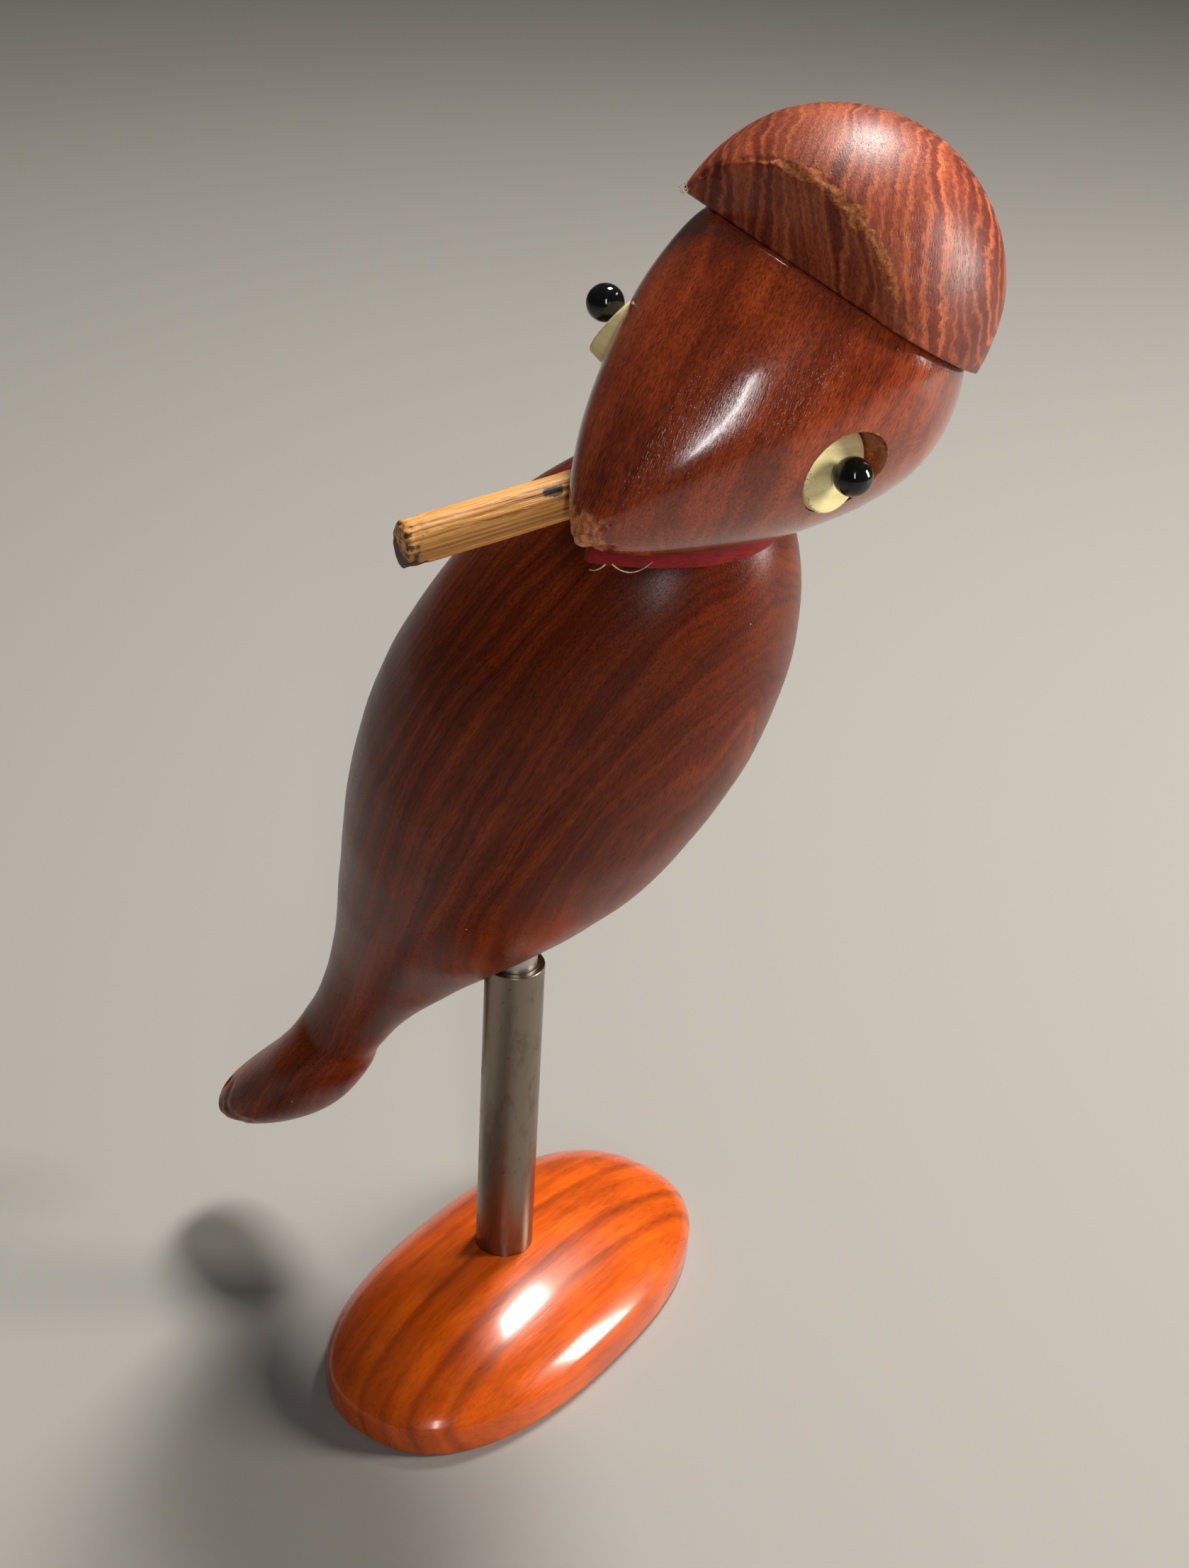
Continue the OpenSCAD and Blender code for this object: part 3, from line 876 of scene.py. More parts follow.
def eye_wood():
    """Pale cream wood with a smooth sanded face and faint straight fibres."""
    cream = np.array(bpy.context.scene.bird_colours.eye_cream)
    return wood(
        "Eye wood",
        (cream * (0.72, 0.66, 0.5), cream, np.minimum(cream * 1.05, 1)),
        cream * (0.85, 0.8, 0.7),
        head_place().axes[:, 1],
        (0.2, 0.1, 1),
        layers={
            "Layer_Width": 1.6, "Ring_Width": 1.1, "Warp": 1.5, "Jag": 0.3, "Stroke": 0.5, "Fineness": 1.0
        },
        look=(0.4, 0.3, 0.12, 0.1, 0.12),
        roughness=0.5,
        shine=(0.4, 0.0, 0.3),
        bump=0.15,
        specks=(1.6, 0.12, 0.05),
    )


def stick_wood():
    """Honey-coloured split wood with lengthwise lines, charred in flecks where the vertex mark says so."""
    c = bpy.context.scene.bird_colours
    material, tree, shader = new_material("Stick wood")
    vector = wood_vector(tree, stick_place().axes[:, 2], (0.1, 0.4, 1))
    figure = use(
        tree,
        grain_group(),
        Vector=vector,
        Layer_Width=0.75,
        Ring_Width=1.3,
        Warp=0.5,
        Jag=0.12,
        Stroke=0.25,
        Fineness=1.0,
    )
    base = ramp(
        tree,
        figure["Layers"],
        [(0.12, c.stick_dark), (0.42, np.array(c.stick_light) * (0.75, 0.62, 0.5)), (0.7, c.stick_light)],
    )
    fibre = ramp(
        tree, figure["Fibre"], [(0.3, (0.35, 0.3, 0.25)), (0.5, (0.9, 0.88, 0.85)), (0.7, (1, 1, 1))]
    )
    base = blend(tree, 0.65, base, fibre, "MULTIPLY")
    marked = add(tree, "ShaderNodeAttribute", attribute_name="char").outputs["Fac"]
    burnt = use(tree, wear_group(), Vector=vector, Wear=marked, Patch=1.1, Ragged=1.5)["Mask"]
    base = blend(tree, times(tree, burnt, 0.93), base, (0.012, 0.008, 0.006))
    rough = plus(tree, times(tree, figure["Fibre"], 0.2), 0.38)
    finish(tree, shader, base, rough, figure["Height"], 0.5, 0.0002)
    return material


def mouth_paint():
    """Matt crimson paint, brushed along the plate and rubbed a little dark."""
    c = bpy.context.scene.bird_colours
    material, tree, shader = new_material("Mouth paint")
    vector = wood_vector(tree, head_place().axes[:, 0], head_place().axes[:, 2])
    brush = cloud(tree, stretch(tree, vector, (0.25, 3.0, 3.0)), 1.0, 4.0, 0.6)
    patch = cloud(tree, vector, 0.5, 3.0)
    red = np.array(c.mouth_red)
    base = ramp(tree, brush, [(0.3, red * (0.6, 0.5, 0.5)), (0.6, red), (0.8, red * (1.3, 1.6, 1.4))])
    base = blend(tree, ease(tree, patch, 0.55, 0.75), base, red * (0.45, 0.4, 0.4))
    finish(tree, shader, base, plus(tree, times(tree, brush, 0.25), 0.5), brush, 0.35, 0.0002)
    shader.inputs["Specular IOR Level"].default_value = 0.2
    return material


def steel(name, shade, roughness):
    """Drawn steel with fine lines along it and faint brown stains."""
    material, tree, shader = new_material(name)
    vector = wood_vector(tree, (0, 0, 1), (1, 0, 0))
    drawn = cloud(tree, stretch(tree, vector, (0.12, 7, 7)), 1.0, 3.0)
    stain = ease(tree, cloud(tree, stretch(tree, vector, (0.4, 1, 1)), 0.55, 4.0, 0.65), 0.48, 0.72)
    spots = use(tree, dust_group(), Vector=vector, Spacing=2.2, Share=0.3, Size=0.1)["Mask"]
    dark = tuple(np.array(shade) * (0.62, 0.5, 0.38))
    base = blend(tree, times(tree, stain, 0.6), shade, dark)
    base = blend(tree, times(tree, spots, 0.5), base, dark)
    rough = plus(tree, times(tree, drawn, 0.14), roughness)
    finish(tree, shader, base, plus(tree, rough, times(tree, stain, 0.12)), drawn, 0.08)
    shader.inputs["Metallic"].default_value = 1.0
    return material


def bead_gloss():
    """Black bead with a hard gloss, a little dulled in patches."""
    c = bpy.context.scene.bird_colours
    material, tree, shader = new_material("Bead gloss")
    vector = wood_vector(tree, (0, 0, 1), (1, 0, 0))
    haze = ease(tree, cloud(tree, vector, 1.3, 3.0), 0.5, 0.75)
    black = tuple(c.bead_black)
    base = blend(tree, times(tree, haze, 0.4), black, (0.03, 0.032, 0.036))
    rough = plus(tree, times(tree, haze, 0.12), 0.07)
    finish(tree, shader, base, rough, cloud(tree, vector, 0.8, 1.0), 0.05, 0.0004)
    return material


def hair_fibre():
    """Pale frayed fibre and dried glue."""
    material, tree, shader = new_material("Frayed fibre")
    vector = wood_vector(tree, (0, 0, 1), (1, 0, 0))
    base = ramp(tree, cloud(tree, vector, 2.0, 2.0), [(0.35, (0.42, 0.34, 0.20)), (0.6, (0.78, 0.70, 0.50))])
    tree.links.new(base, shader.inputs["Base Color"])
    shader.inputs["Roughness"].default_value = 0.6
    return material


# --- Pieces -----------------------------------------------------------------


class BIRD_OT_base(Operator):
    """Make the low-domed oval base"""

    bl_idname = "bird.base"
    bl_label = "Oval Base"

    def execute(self, context):
        """Rings run from the leg's hole out over the crown to the edge and under. A ring is a share of the
        way from the hole's circle to the plan, a superellipse of power PLAN_POWER; its height is the crown's,
        edge + (height - edge) (1 - share ** CROWN_POWER) ** (1 / CROWN_POWER)."""
        s = context.scene.bird_stand
        middle = leg_place().origin[:2]
        turn = full_turn(288)
        half = np.array([s.base_width / 2, s.base_length / 2])
        ray = np.stack([np.cos(turn), np.sin(turn)], -1)
        plan = ray * half * ((np.abs(ray) ** PLAN_POWER).sum(-1) ** (-1 / PLAN_POWER))[:, None]
        outward = (plan - middle) / np.linalg.norm(plan - middle, axis=1, keepdims=True)
        hole = middle + (s.tube_diameter / 2 + SET_GAP) * outward

        def crown(flat):
            share = np.clip(((np.abs(flat) / half) ** PLAN_POWER).sum(-1) ** (1 / PLAN_POWER), 0, 1)
            rise = np.clip(1 - share**CROWN_POWER, 0, None) ** (1 / CROWN_POWER)
            return s.base_edge + (s.base_height - s.base_edge) * rise

        out = np.sin(np.linspace(0, math.pi / 2, 84))[:, None, None]
        flat = hole * (1 - out) + plan * out
        top = np.concatenate([flat, crown(flat)[..., None]], -1)
        floor = [level(middle + (hole - middle) * k, s.tube_bottom) for k in (0.4, 1.0)]
        wall = np.column_stack([hole, crown(hole) - 0.0004])
        side = [level(plan, s.base_edge * (1 - k) + RIM_HEIGHT * k) for k in (0.3, 0.65, 1.0)]
        under = [
            level(plan * (1 - 0.03 * (1 - math.cos(a))), RIM_HEIGHT * (1 - math.sin(a)))
            for a in np.linspace(0, math.pi / 2, 8)[1:]
        ]
        bottom = [level(plan * k, 0) for k in (0.9, 0.6, 0.3)]
        rings = np.array([*floor, wall, *top, *side, *under, *bottom])[::-1]
        piece = closed_rings("Oval_base", rings, None, 40)
        settle(piece, "stand", base_wood(), "base_wood", "foot_base")
        return {"FINISHED"}


class BIRD_OT_leg(Operator):
    """Make the steel tube and the rod that turns in it"""

    bl_idname = "bird.leg"
    bl_label = "Steel Leg"

    def execute(self, context):
        """The tube's profile goes up the outside, over a rounded lip and down the bore, carried round its
        axis as a ring without ends."""
        s = context.scene.bird_stand
        outer, inner, lip = s.tube_diameter / 2, s.tube_diameter / 2 - s.tube_wall, 0.00018
        bend = np.linspace(0, math.pi / 2, 6)
        rounded = (outer - lip + lip * np.cos(bend), inner + lip - lip * np.sin(bend))
        radii = np.concatenate([[outer] * 12, *rounded, [inner] * 6])
        heights = np.concatenate([
            np.linspace(s.tube_bottom, s.tube_top - lip * 1.5, 12),
            s.tube_top - lip + lip * np.sin(bend),
            s.tube_top - lip + lip * np.cos(bend),
            np.linspace(s.tube_top - lip * 1.5, s.tube_bottom, 6),
        ])
        rows, around = len(radii), 128
        rings = round_rings(radii[:, None], heights[:, None], full_turn(around))
        j = np.arange(around)
        k = (j + 1) % around
        last = (rows - 1) * around
        quads = np.concatenate([ring_faces(rows, around), np.stack([last + j, last + k, k, j], -1)])
        tube = piece_from("Leg_tube", leg_place().out(rings.reshape(-1, 3)), quads)
        shade = context.scene.bird_colours.steel
        settle(tube, "stand", steel("Tube steel", shade, 0.24), "steel_tube", "leg_tube")
        spindle = rod(
            "Body_spindle", s.spindle_radius, s.spindle_bottom, s.spindle_top, leg_place(), 96, 0.0002
        )
        settle(spindle, "torso", steel("Rod steel", (0.5, 0.48, 0.45), 0.3), "steel_rod", "body_spindle")
        return {"FINISHED"}


def body_rings(b):
    """Rings up the body's axis, s from the tail's end to the crown's point, measured from the widest
    section. Above it the radius is an ellipse's; below, a raised cosine down to the waist. The tail
    swells from the waist by a quarter sine, ends in a root of power 8, and has a heel below; the kink
    carries it back by a smoothed ramp, with each ring leaning to suit."""
    radius, waist_r = b.diameter / 2, b.waist_diameter / 2

    def egg(s):
        lower = waist_r + (radius - waist_r) * (1 + np.cos(math.pi * np.clip(-s / b.waist, 0, 1) ** 1.15)) / 2
        return np.where(s >= 0, radius * np.sqrt(np.clip(1 - (s / b.crown) ** 2, 0, None)), lower)

    def kink(s):
        d = -s - b.kink_start
        return math.tan(b.kink) * (np.sqrt(d * d + 0.0025**2) + d) / 2

    rows, around = 300, 240
    wave = (1 + np.cos(math.pi * np.linspace(0.0015, 0.9985, rows))) / 2
    s = (b.crown - (b.crown + b.tail) * wave)[:, None]
    share = np.clip((-s - b.waist) / (b.tail - b.waist), 0, 1)
    swell, end = np.sin(math.pi / 2 * np.minimum(1, 3 * share)), np.sqrt(1 - share**8)
    wide = (egg(s) + (b.tail_wide / 2 - waist_r) * swell) * end
    thick = (egg(s) + (b.tail_thick / 2 - waist_r) * swell) * end
    heel = b.tail_heel * np.sin(math.pi * share**1.1)
    turn = full_turn(around)[None, :]
    step = 0.0005
    lean = np.arctan((kink(s - step) - kink(s + step)) / (2 * step))
    h = (thick + heel * np.maximum(0, np.cos(turn))) * np.cos(turn)
    return np.stack([h * np.cos(lean) - kink(s), wide * np.sin(turn), s + h * np.sin(lean)], -1)


class BIRD_OT_body(Operator):
    """Make the egg-shaped body with its kinked tail, and the peg in its neck"""

    bl_idname = "bird.body"
    bl_label = "Body and Tail"

    def execute(self, context):
        """The rings of body_rings(), hollowed slightly by tool marks and chipped at the tail's end by
        noise along their normals, then cut by the neck's flat and the holes."""
        b, h, s = context.scene.bird_body, context.scene.bird_head, context.scene.bird_stand
        egg = egg_place()
        rings = body_rings(b)
        away = rings / np.maximum(np.linalg.norm(rings * (1, 1, 0), axis=-1, keepdims=True), 1e-6) * (1, 1, 0)
        marks = ripple(rings, 0.012, 5) * 0.00008
        near_end = smooth_step(-b.tail + 0.010, -b.tail + 0.001, rings[..., 2])
        chips = np.minimum(0, ripple(rings, 0.0028, 9) - 0.1) * 0.0007 * near_end
        rings = rings + away * (marks + chips)[..., None]
        piece = closed_rings("Bird_body", rings, egg, 35)
        seat = h.mouth + h.plate + b.seat_gap
        cutters = [
            rod("cut_flat", 0.06, -seat, 0.08, neck_place(), 64),
            rod("cut_peg", h.peg_diameter / 2, -seat - PEG_SET, 0.02, neck_place(), 96),
            rod("cut_leg_seat", b.leg_seat / 2, -0.03, s.tube_top + b.seat_gap, leg_place(), 128),
            rod("cut_spindle", s.spindle_radius, 0.01, s.spindle_top, leg_place(), 96),
        ]
        carve(piece, cutters)
        at = egg.into(corners(piece))
        end = smooth_step(-b.tail + 0.0045, -b.tail + 0.0005, at[:, 2]) * 0.75
        mark(piece, "wear", end)
        settle(piece, "torso", body_wood(), "body_wood", "bird_body")
        peg = rod(
            "Neck_peg", h.peg_diameter / 2, -seat - PEG_SET, -h.mouth + PEG_UP, neck_place(), 96, 0.0003
        )
        settle(peg, "torso", peg_wood(), "peg_wood", "neck_peg")
        return {"FINISHED"}


def beak_radius(along):
    """The bulk's radius at a distance along the beak: R (1 - (x / L) ** BEAK_POWER) ** BEAK_CLOSE."""
    h = bpy.context.scene.bird_head
    share = np.clip(along / h.beak, 0, 1)
    return h.diameter / 2 * np.clip(1 - share**BEAK_POWER, 0, None) ** BEAK_CLOSE


def outside_head(points):
    """About how far a point of the head's frame is outside the head: the larger of three distances, from the
    turned bulk, above the cap's flat and below the mouth's, rounded where they meet. The bulk is a sphere
    behind its middle, and has beak_radius() before it."""
    h = bpy.context.scene.bird_head
    head, beak, cap = head_place(), beak_place(), cap_place()
    world = head.out(points)
    p = beak.into(world)
    along, round_it = p[..., 2], np.linalg.norm(p[..., :2], axis=-1)
    before = np.where(along > h.beak, round_it + along - h.beak, round_it - beak_radius(along))
    bulk = np.where(along < 0, np.linalg.norm(p, axis=-1) - h.diameter / 2, before)
    shape = larger(bulk, cap.into(world)[..., 2], 0.0004)
    return larger(shape, -points[..., 2] - h.mouth, 0.0004)


class BIRD_OT_head(Operator):
    """Make the turned head and the peg between head and cap"""

    bl_idname = "bird.head"
    bl_label = "Head and Beak"

    def execute(self, context):
        """Rays from inside the head out to where outside_head() turns positive, on a grid of directions
        with its poles along the beak, then cut for the eyes, pegs and stick."""
        h = context.scene.bird_head
        head, beak = head_place(), beak_place()
        middle = beak.move(0, 0, 0.004)
        tilt = head.axes.T @ middle.axes
        start = head.into(middle.origin)
        rows = np.sin(np.linspace(-math.pi / 2, math.pi / 2, 282)[1:-1])
        rise = np.arcsin(rows * 0.35 + 0.65 * rows**3)[:, None]
        ways = round_rings(np.cos(rise), np.sin(rise), full_turn(330)[None, :]) @ tilt.T
        rings = cast(ways, lambda p: outside_head(p + start), 0.05)
        world = head.out(rings + start)
        near_tip = smooth_step(
            0.0065, 0.001, np.linalg.norm(beak.into(world) - (0, 0, h.beak - 0.001), axis=-1)
        )
        dents = np.maximum(0, ripple(world, 0.0022, 12))
        broken = 0.00012 + 0.00035 * dents + 0.0002 * np.maximum(0, ripple(world, 0.0009, 13))
        rings = sunk(rings, near_tip * broken + ripple(world, 0.013, 3) * 0.00006) + start
        piece = closed_rings("Bird_head", rings, head, 40)
        cap = cap_place()
        cutters = [
            rod(
                "cut_neck",
                h.peg_diameter / 2 + RUNNING_GAP,
                -h.mouth - 0.002,
                -h.mouth + PEG_UP + 0.0005,
                head,
                96,
            ),
            rod("cut_cap_peg", h.peg_diameter / 2, -CAP_PEG_HALF, 0.01, cap, 96),
            rod("cut_stick", h.stick_diameter / 2, -h.stick_in, 0.02, stick_place(), 96),
        ]
        socket = h.eye_diameter / 2 + EYE_GAP
        for side in (1, -1):
            cutters.append(rod("cut_eye", socket, h.eye_face - h.eye_length, 0.03, eye_place(side), 128))
        carve(piece, cutters, 38)
        at = corners(piece)
        p = beak.into(at)
        tip = np.linalg.norm(p - (0, 0, h.beak), axis=1)
        wear = smooth_step(0.0062, 0.0012, tip) * 0.85
        spans = [np.linalg.norm(eye_place(side).into(at)[:, :2], axis=1) for side in (1, -1)]
        rim = np.min([np.abs(span - h.eye_diameter / 2) for span in spans], axis=0)
        wear = np.maximum(wear, 0.42 * smooth_step(0.0005, 0.0001, rim))
        mark(piece, "wear", wear)
        settle(piece, "head", head_wood(), "head_wood", "bird_head")
        peg = rod("Cap_peg", h.peg_diameter / 2, -CAP_PEG_HALF, CAP_PEG_HALF, cap, 96, 0.0003)
        settle(peg, "head", peg_wood(), "peg_wood", "cap_peg")
        return {"FINISHED"}


class BIRD_OT_mouth(Operator):
    """Make the red mouth plate and the strand of glue at its end"""

    bl_idname = "bird.mouth"
    bl_label = "Mouth Plate"

    def execute(self, context):
        """The plate's outline is the head's section at the mouth's level, set in and rounded over at the
        front. Rings shrink it towards its middle for the faces, with edges rounded by a small radius."""
        h = context.scene.bird_head
        radius = h.diameter / 2
        back = -math.sqrt(radius**2 - h.mouth**2) + h.plate_inset
        front = (h.beak - h.mouth * math.sin(h.beak_drop)) / math.cos(h.beak_drop) - h.plate_setback
        x = back + (front - back) * (1 - np.cos(np.linspace(0.02, math.pi - 0.02, 90))) / 2
        along = x * math.cos(h.beak_drop) + h.mouth * math.sin(h.beak_drop)
        below = h.mouth * math.cos(h.beak_drop) - x * math.sin(h.beak_drop)
        r = np.where(along < 0, np.sqrt(np.clip(radius**2 - along**2, 0, None)), beak_radius(along))
        section = np.sqrt(np.clip(r * r - below * below, 0, None)) - h.plate_inset
        half = np.maximum(0.0001, section * np.sqrt(1 - (np.clip(x, 0, None) / front) ** 3))
        outline = np.concatenate([np.stack([x, -half], -1), np.stack([x[::-1], half[::-1]], -1)])
        outline += (0, h.offset)
        centre = outline.mean(0)
        outward = outline - centre
        outward /= np.linalg.norm(outward, axis=1, keepdims=True)
        wobble = ripple(np.column_stack([outline, 0 * outline[:, 0]]), 0.004, 21)[:, None] * 0.00008
        bend = np.linspace(0, math.pi / 2, 5)
        low, high, soft = -h.mouth - h.plate, -h.mouth, 0.00025
        rings = [level(centre + (outline - centre) * k, low) for k in (0.3, 0.7, 0.95)]
        for a in bend:
            edge = outline + outward * (wobble - soft + soft * math.sin(a))
            rings.append(level(edge, low + soft - soft * math.cos(a)))
        rings += [level(outline + outward * wobble, low + (high - low) * k) for k in (0.3, 0.5, 0.7)]
        for a in bend:
            edge = outline + outward * (wobble - soft + soft * math.cos(a))
            rings.append(level(edge, high - soft + soft * math.sin(a)))
        rings += [level(centre + (outline - centre) * k, high) for k in (0.95, 0.7, 0.3)]
        piece = closed_rings("Mouth_plate", np.array(rings), head_place(), 40)
        cutters = [
            rod("cut_neck", h.peg_diameter / 2 + RUNNING_GAP, low - 0.001, high + 0.001, head_place(), 96),
            rod("cut_stick", h.stick_diameter / 2, -h.stick_in, 0.02, stick_place(), 96),
        ]
        carve(piece, cutters)
        settle(piece, "head", mouth_paint(), "mouth_red", "mouth_plate")
        # A strand of dried glue hangs from the plate's front corner
        head = head_place()
        roots = head.out(
            np.array([[front - 0.0022, 0.0028, low + 0.0003], [front - 0.0016, 0.0024, low + 0.0002]])
        )
        tips = head.out(
            np.array([[front - 0.0052, 0.0056, low + 0.0016], [front - 0.0002, 0.0016, low - 0.0006]])
        )
        bend = head.axes @ np.array([0.0002, 0.0004, -0.0009])
        glue = strands("Glue_strand", roots, tips, np.array([bend, bend * 0.3]), 0.00008, 6, 10)
        settle(glue, "head", hair_fibre(), "eye_wood")
        return {"FINISHED"}


def outside_cap(points):
    """About how far a point of the cap's frame is outside the cap: the larger of the distances from the
    sphere, below the flat and before the sloping cut, rounded where they meet. The distances from the
    sphere and the cut come with it."""
    h = bpy.context.scene.bird_head
    sphere = np.linalg.norm(points, axis=-1) - h.cap_diameter / 2
    cut = (points[..., 0] - h.peak_cut) * math.sin(h.peak_slope) - points[..., 2] * math.cos(h.peak_slope)
    return larger(larger(sphere, cut, 0.00035), -points[..., 2], 0.0003), sphere, cut


class BIRD_OT_cap(Operator):
    """Make the round cap, cut away under its peak"""

    bl_idname = "bird.cap"
    bl_label = "Round Cap"

    def execute(self, context):
        """Rays from inside the cap out to where outside_cap() turns positive, on a grid of directions with
        its poles through the crown."""
        h = context.scene.bird_head
        cap = cap_place()
        start = np.array([0, 0, 0.0055])
        rings = cast(all_ways(290, 320), lambda p: outside_cap(p + start)[0], 0.04)
        world = cap.out(rings + start)
        _, sphere, cut = outside_cap(rings + start)
        near = smooth_step(0.0012, 0.0001, np.hypot(sphere, cut))
        dents = np.maximum(0, ripple(world, 0.0024, 31))
        broken = 0.00006 + 0.00028 * dents + 0.00014 * np.maximum(0, ripple(world, 0.0008, 32))
        rings = sunk(rings, near * broken + ripple(world, 0.012, 4) * 0.00006) + start
        piece = closed_rings("Round_cap", rings, cap, 40)
        carve(piece, [rod("cut_cap_peg", h.peg_diameter / 2, -0.01, CAP_PEG_HALF, cap, 96)], 38)
        p = cap.into(corners(piece))
        _, sphere, cut = outside_cap(p)
        edge = np.hypot(np.minimum(sphere, 0), cut)
        shown = 0.35 + 0.65 * smooth_step(-0.009, -0.001, p[:, 1]) * smooth_step(0.0145, 0.010, p[:, 1])
        wear = smooth_step(0.0021, 0.0002, edge) * np.where(cut > -0.0002, 0.35, 0.85) * shown
        rim = smooth_step(0.0009, 0.0001, np.hypot(np.minimum(sphere, 0), p[:, 2])) * 0.45
        mark(piece, "wear", np.maximum(wear, rim))
        settle(piece, "head", cap_wood(), "cap_wood", "round_cap")
        chance = np.random.default_rng(8)
        corner = -math.sqrt((h.cap_diameter / 2) ** 2 - h.peak_cut**2)
        left = cap.out(np.array([h.peak_cut, corner, 0.0002]))
        roots = left + chance.normal(scale=0.00012, size=(6, 3))
        tips = (
            roots + cap.axes @ np.array([0.0003, -0.0005, 0.0003]) + chance.normal(scale=0.0004, size=(6, 3))
        )
        splinters = strands("Cap_splinters", roots, tips, chance.normal(scale=0.00012, size=(6, 3)), 0.00005)
        settle(splinters, "head", hair_fibre(), "eye_wood")
        return {"FINISHED"}


class BIRD_OT_eyes(Operator):
    """Make the eye plugs, their pins and beads, and the frayed fibres round them"""

    bl_idname = "bird.eyes"
    bl_label = "Eyes"

    def execute(self, context):
        """Plugs, pins and beads are turned profiles; a bead's is a half circle. Fibres are strands from
        chance places on a plug's rim."""
        h = context.scene.bird_head
        cream, bead, pin = eye_wood(), bead_gloss(), steel("Pin steel", (0.2, 0.19, 0.18), 0.35)
        fray = hair_fibre()
        r, face, back = h.eye_diameter / 2, h.eye_face, h.eye_face - h.eye_length
        chance = np.random.default_rng(17)
        # Count of fibres, the stretch of the rim that they grow on, and the longest one
        right = (46, math.pi * 0.55, math.pi * 1.35, 0.0011)
        for side, word in ((1, "Left"), (-1, "Right")):
            eye = eye_place(side)
            arc = np.linspace(0, math.pi / 2, 7)
            soft = 0.0003
            radii = [
                r * 0.4,
                r * 0.98,
                *[r] * 8,
                *(r - soft + soft * np.cos(arc)),
                *np.linspace(r * 0.92, r * 0.12, 14),
            ]
            wall = np.linspace(back + 0.0001, face - soft * 1.2, 8)
            heights = [back, back, *wall, *(face - soft + soft * np.sin(arc)), *[face + 0.00002] * 14]
            plug = turned_piece(f"{word}_eye", radii, heights, eye, 144, 50)
            carve(plug, [rod("cut_pin", h.pin_diameter / 2, face - h.pin_set, face + 0.004, eye, 32)], 45)
            name = word.lower()
            settle(plug, "head", cream, "eye_wood", f"{name}_eye")
            centre = face + h.bead_gap + h.bead_diameter / 2
            wire = rod(f"{word}_pupil_pin", h.pin_diameter / 2, face - h.pin_set, centre, eye, 32)
            settle(wire, "head", pin, "pin_steel", f"{name}_pupil_pin")
            swing = np.linspace(-math.pi / 2, math.pi / 2, 66)[1:-1]
            radius = h.bead_diameter / 2
            ball = turned_piece(
                f"{word}_pupil_bead", radius * np.cos(swing), centre + radius * np.sin(swing), eye, 96
            )
            carve(ball, [rod("cut_bead", h.pin_diameter / 2, centre - h.bead_diameter, centre, eye, 32)], 45)
            settle(ball, "head", bead, "bead_black", f"{name}_pupil_bead")
            count, first, last, longest = (14, -0.4, 1.3, 0.0005) if side > 0 else right
            around = chance.uniform(first, last, count)
            spot = np.stack([r * np.cos(around), r * np.sin(around), np.full(count, face)], -1)
            spot[:, :2] *= chance.uniform(0.86, 1.0, count)[:, None]
            reach = chance.uniform(0.0003, longest, count)[:, None]
            lean = np.stack([np.cos(around), np.sin(around), np.full(count, 0.7)], -1)
            lean += chance.normal(scale=0.6, size=(count, 3))
            tips = spot + lean * reach
            bend = chance.normal(scale=0.00015, size=(count, 3))
            hairs = strands(f"{word}_eye_fibres", eye.out(spot), eye.out(tips), bend @ eye.axes.T, 0.000045)
            settle(hairs, "head", fray, "eye_wood")
        return {"FINISHED"}


class BIRD_OT_stick(Operator):
    """Make the charred stick in the beak"""

    bl_idname = "bird.stick"
    bl_label = "Stick"

    def execute(self, context):
        """A rod along Z whose radius is pushed in and out by noise drawn out along it, a little thinner
        outside its hole, with a rounded outer end cut askew."""
        h = context.scene.bird_head
        r, low, high = h.stick_diameter / 2, -h.stick_in, h.stick_out
        turn = full_turn(160)[None, :]
        bend = np.linspace(0, math.pi / 2, 8)[1:]
        soft = 0.0006
        z = np.concatenate(
            [
                np.full(3, low),
                np.linspace(low, high - soft, 120),
                high - soft + soft * np.sin(bend),
                np.full(10, high),
            ]
        )[:, None]
        share = np.concatenate([
            [0.3, 0.7, 0.97], np.full(120, 1.0), 1 - 0.2 * (1 - np.cos(bend)), np.linspace(0.76, 0.06, 10)
        ])[:, None]
        uneven = 1 + 0.06 * np.cos(turn + 1.0)
        rings = round_rings(r * share, z, turn)
        near_end = smooth_step(high - 0.004, high, z)
        rings[..., 2] += near_end * (r * share * np.cos(turn - 0.7)) * 0.16
        outside = smooth_step(-0.0005, 0.002, z)
        ridges = ripple(rings * (1, 1, 0.04), 0.0016, 41) * 0.00009
        ridges += ripple(rings * (1, 1, 0.08), 0.0007, 42) * 0.00004
        chips = -near_end * np.maximum(0, ripple(rings, 0.0016, 43)) * 0.00025
        push = (ridges + chips) * outside * (share > 0.6)
        thinner = outside * r * 0.012 * uneven
        rings = rings + round_rings(1 + 0 * z, 0 * z, turn) * (push - thinner)[..., None]
        place = stick_place()
        piece = closed_rings("Mouth_stick", rings, place, 40)
        p = place.into(corners(piece))
        reach = smooth_step(high - 0.0042, high - 0.0004, p[:, 2])
        lower = smooth_step(-0.0005, 0.0018, p[:, 0])
        char = reach * (0.45 + 0.5 * lower)
        off_knot = np.linalg.norm((p - (-0.0022, 0.0011, 0.0030)) * (1, 1, 0.5), axis=1)
        knot = smooth_step(0.0011, 0.0002, off_knot) * 0.9
        mark(piece, "char", np.maximum(char, knot))
        settle(piece, "head", stick_wood(), "stick_wood", "mouth_stick")
        return {"FINISHED"}


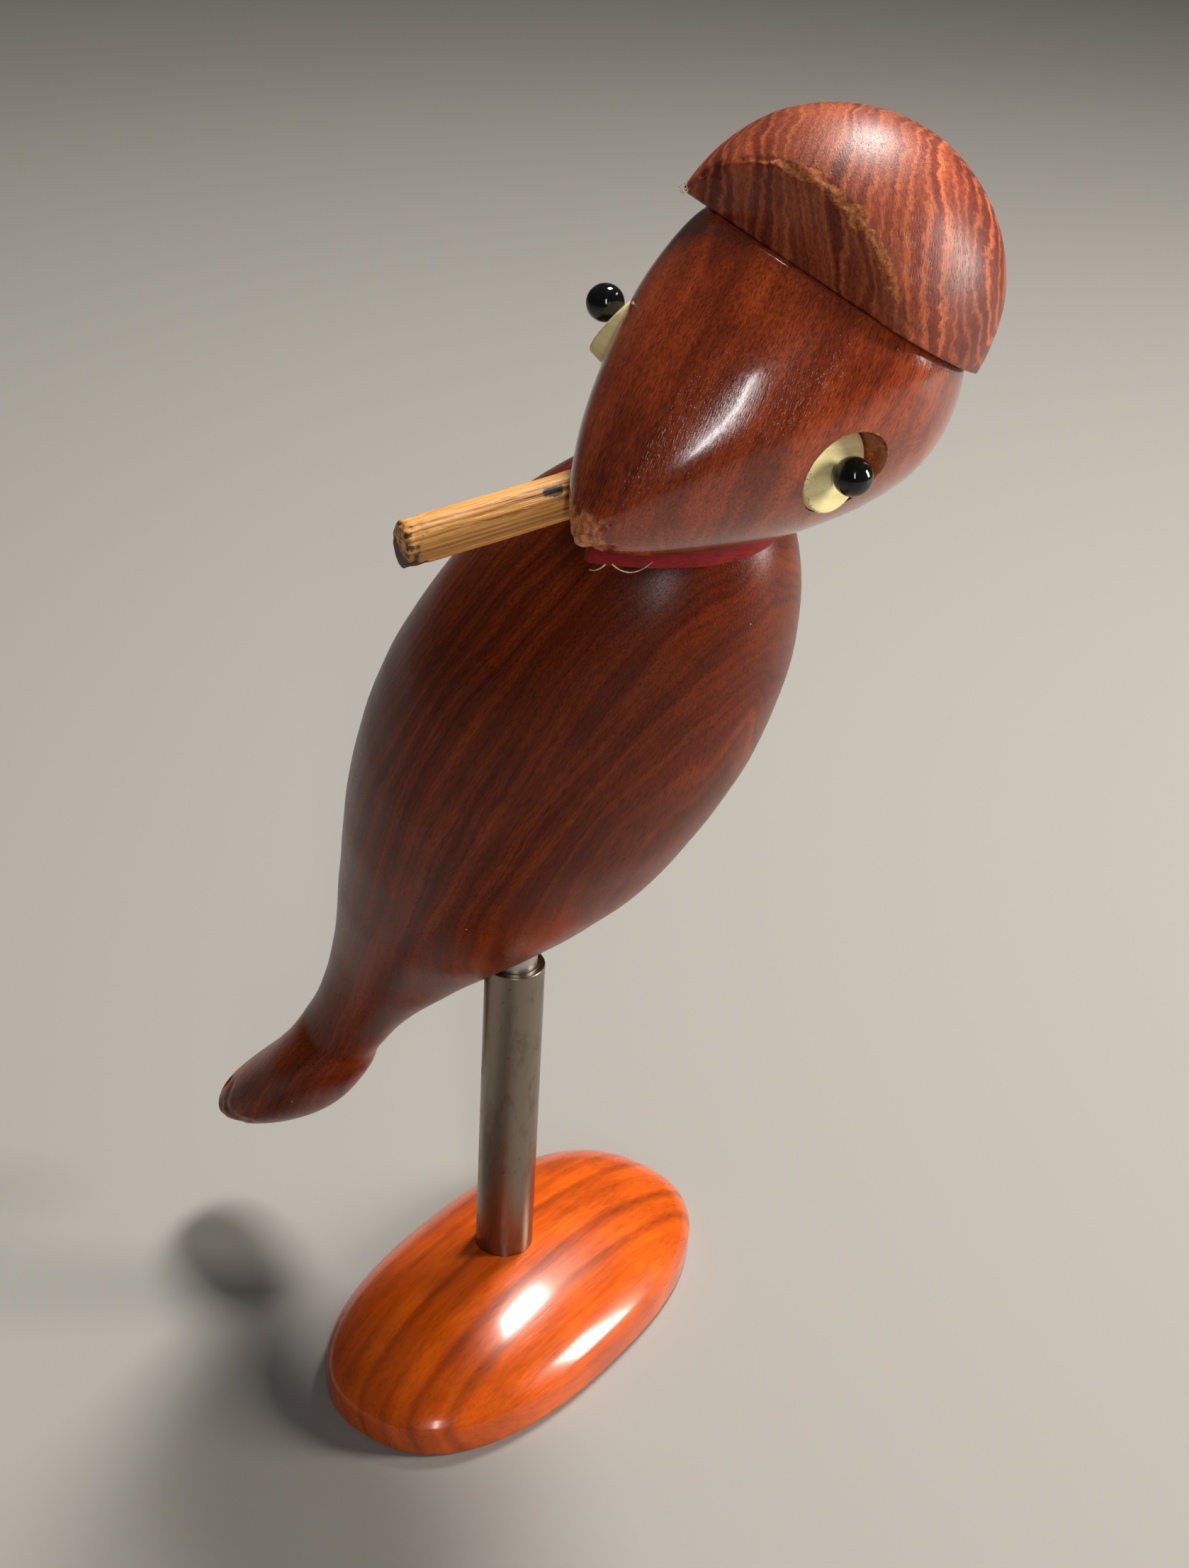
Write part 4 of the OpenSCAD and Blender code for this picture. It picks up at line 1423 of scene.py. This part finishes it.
class BIRD_OT_stage(Operator):
    """Make the floor, the soft lights and the camera"""

    bl_idname = "bird.stage"
    bl_label = "Stage"

    def execute(self, context):
        """A plain pale floor, soft lamps overhead, in front and low on the right, a weak even light, and the
        camera."""
        scene = context.scene
        scene.view_settings.view_transform = "Standard"
        world = bpy.data.worlds.new("Room")
        world.use_nodes = True
        even = world.node_tree.nodes["Background"].inputs
        even["Color"].default_value = (0.66, 0.64, 0.62, 1)
        even["Strength"].default_value = 0.07
        scene.world = world
        grid = np.array([[-3, -3, 0], [3, -3, 0], [3, 3, 0], [-3, 3, 0]], float)
        grid[:, 2] = -0.00002
        floor = piece_from("Floor", grid, np.array([[0, 1, 2, 3]]))
        material, _, shader = new_material("Floor")
        shader.inputs["Base Color"].default_value = (*scene.bird_colours.floor, 1)
        shader.inputs["Roughness"].default_value = 0.75
        floor.data.materials.append(material)
        middle = np.array([0.01, 0.0, 0.10])
        lights = (
            ("Overhead", (-0.03, 0.47, 0.88), 0.75, 0.14, 0.24, 7.5, (1.0, 0.97, 0.93)),
            ("Front strip", (0.57, -0.68, 0.46), 0.90, 0.05, 0.42, 2.0, (1.0, 1.0, 1.0)),
            ("Low right", (0.77, 0.56, 0.30), 0.90, 0.20, 0.42, 9.0, (1.0, 0.94, 0.87)),
        )
        for name, way, distance, wide, tall, power, shade in lights:
            lamp = bpy.data.lights.new(name, "AREA")
            lamp.shape, lamp.size, lamp.size_y = "RECTANGLE", wide, tall
            lamp.energy, lamp.color = power, shade
            holder = bpy.data.objects.new(name, lamp)
            scene.collection.objects.link(holder)
            way = np.array(way) / np.linalg.norm(way)
            back = Matrix.Translation((middle + way * distance).tolist())
            look = Euler((math.acos(way[2]), 0, math.atan2(way[0], -way[1]))).to_matrix().to_4x4()
            holder.matrix_world = back @ look
        camera = bpy.data.cameras.new("Camera")
        camera.lens, camera.clip_start, camera.sensor_width = 53.42, 0.01, 36
        eye = bpy.data.objects.new("Camera", camera)
        scene.collection.objects.link(eye)
        eye.matrix_world = Matrix.Translation((0.1473, -0.2056, 0.23335))
        for degrees, axis in ((34, "Z"), (60, "X"), (3.34, "Z")):
            eye.matrix_world @= Matrix.Rotation(math.radians(degrees), 4, axis)
        scene.camera = eye
        return {"FINISHED"}


class BIRD_PT_panel(Panel):
    """Sizes, colours and makers of the bird"""

    bl_idname = "BIRD_PT_panel"
    bl_label = "Wooden Bird"
    bl_space_type = "VIEW_3D"
    bl_region_type = "UI"
    bl_category = "Bird"

    def draw(self, context):
        """Lists each maker's button, then every size and colour."""
        for maker in MAKERS:
            self.layout.operator(maker.bl_idname)
        for name, group in GROUPS.items():
            box = self.layout.box()
            for key in group.__annotations__:
                box.prop(getattr(context.scene, name), key)


GROUPS = {
    "bird_stand": BirdStandSizes,
    "bird_body": BirdBodySizes,
    "bird_head": BirdHeadSizes,
    "bird_colours": BirdColours,
}
MAKERS = (
    BIRD_OT_base,
    BIRD_OT_leg,
    BIRD_OT_body,
    BIRD_OT_head,
    BIRD_OT_mouth,
    BIRD_OT_cap,
    BIRD_OT_eyes,
    BIRD_OT_stick,
    BIRD_OT_stage,
)


def register():
    """Registers the groups, makers and panel."""
    for name, group in GROUPS.items():
        bpy.utils.register_class(group)
        setattr(bpy.types.Scene, name, PointerProperty(type=group))
    for each in (*MAKERS, BIRD_PT_panel):
        bpy.utils.register_class(each)


def unregister():
    """Takes back everything that register() did."""
    for each in reversed((*MAKERS, BIRD_PT_panel)):
        bpy.utils.unregister_class(each)
    for name, group in GROUPS.items():
        delattr(bpy.types.Scene, name)
        bpy.utils.unregister_class(group)


def main():
    """Makes every piece in order."""
    register()
    for maker in MAKERS:
        group, name = maker.bl_idname.split(".")
        getattr(getattr(bpy.ops, group), name)()


if __name__ == "__main__":
    main()
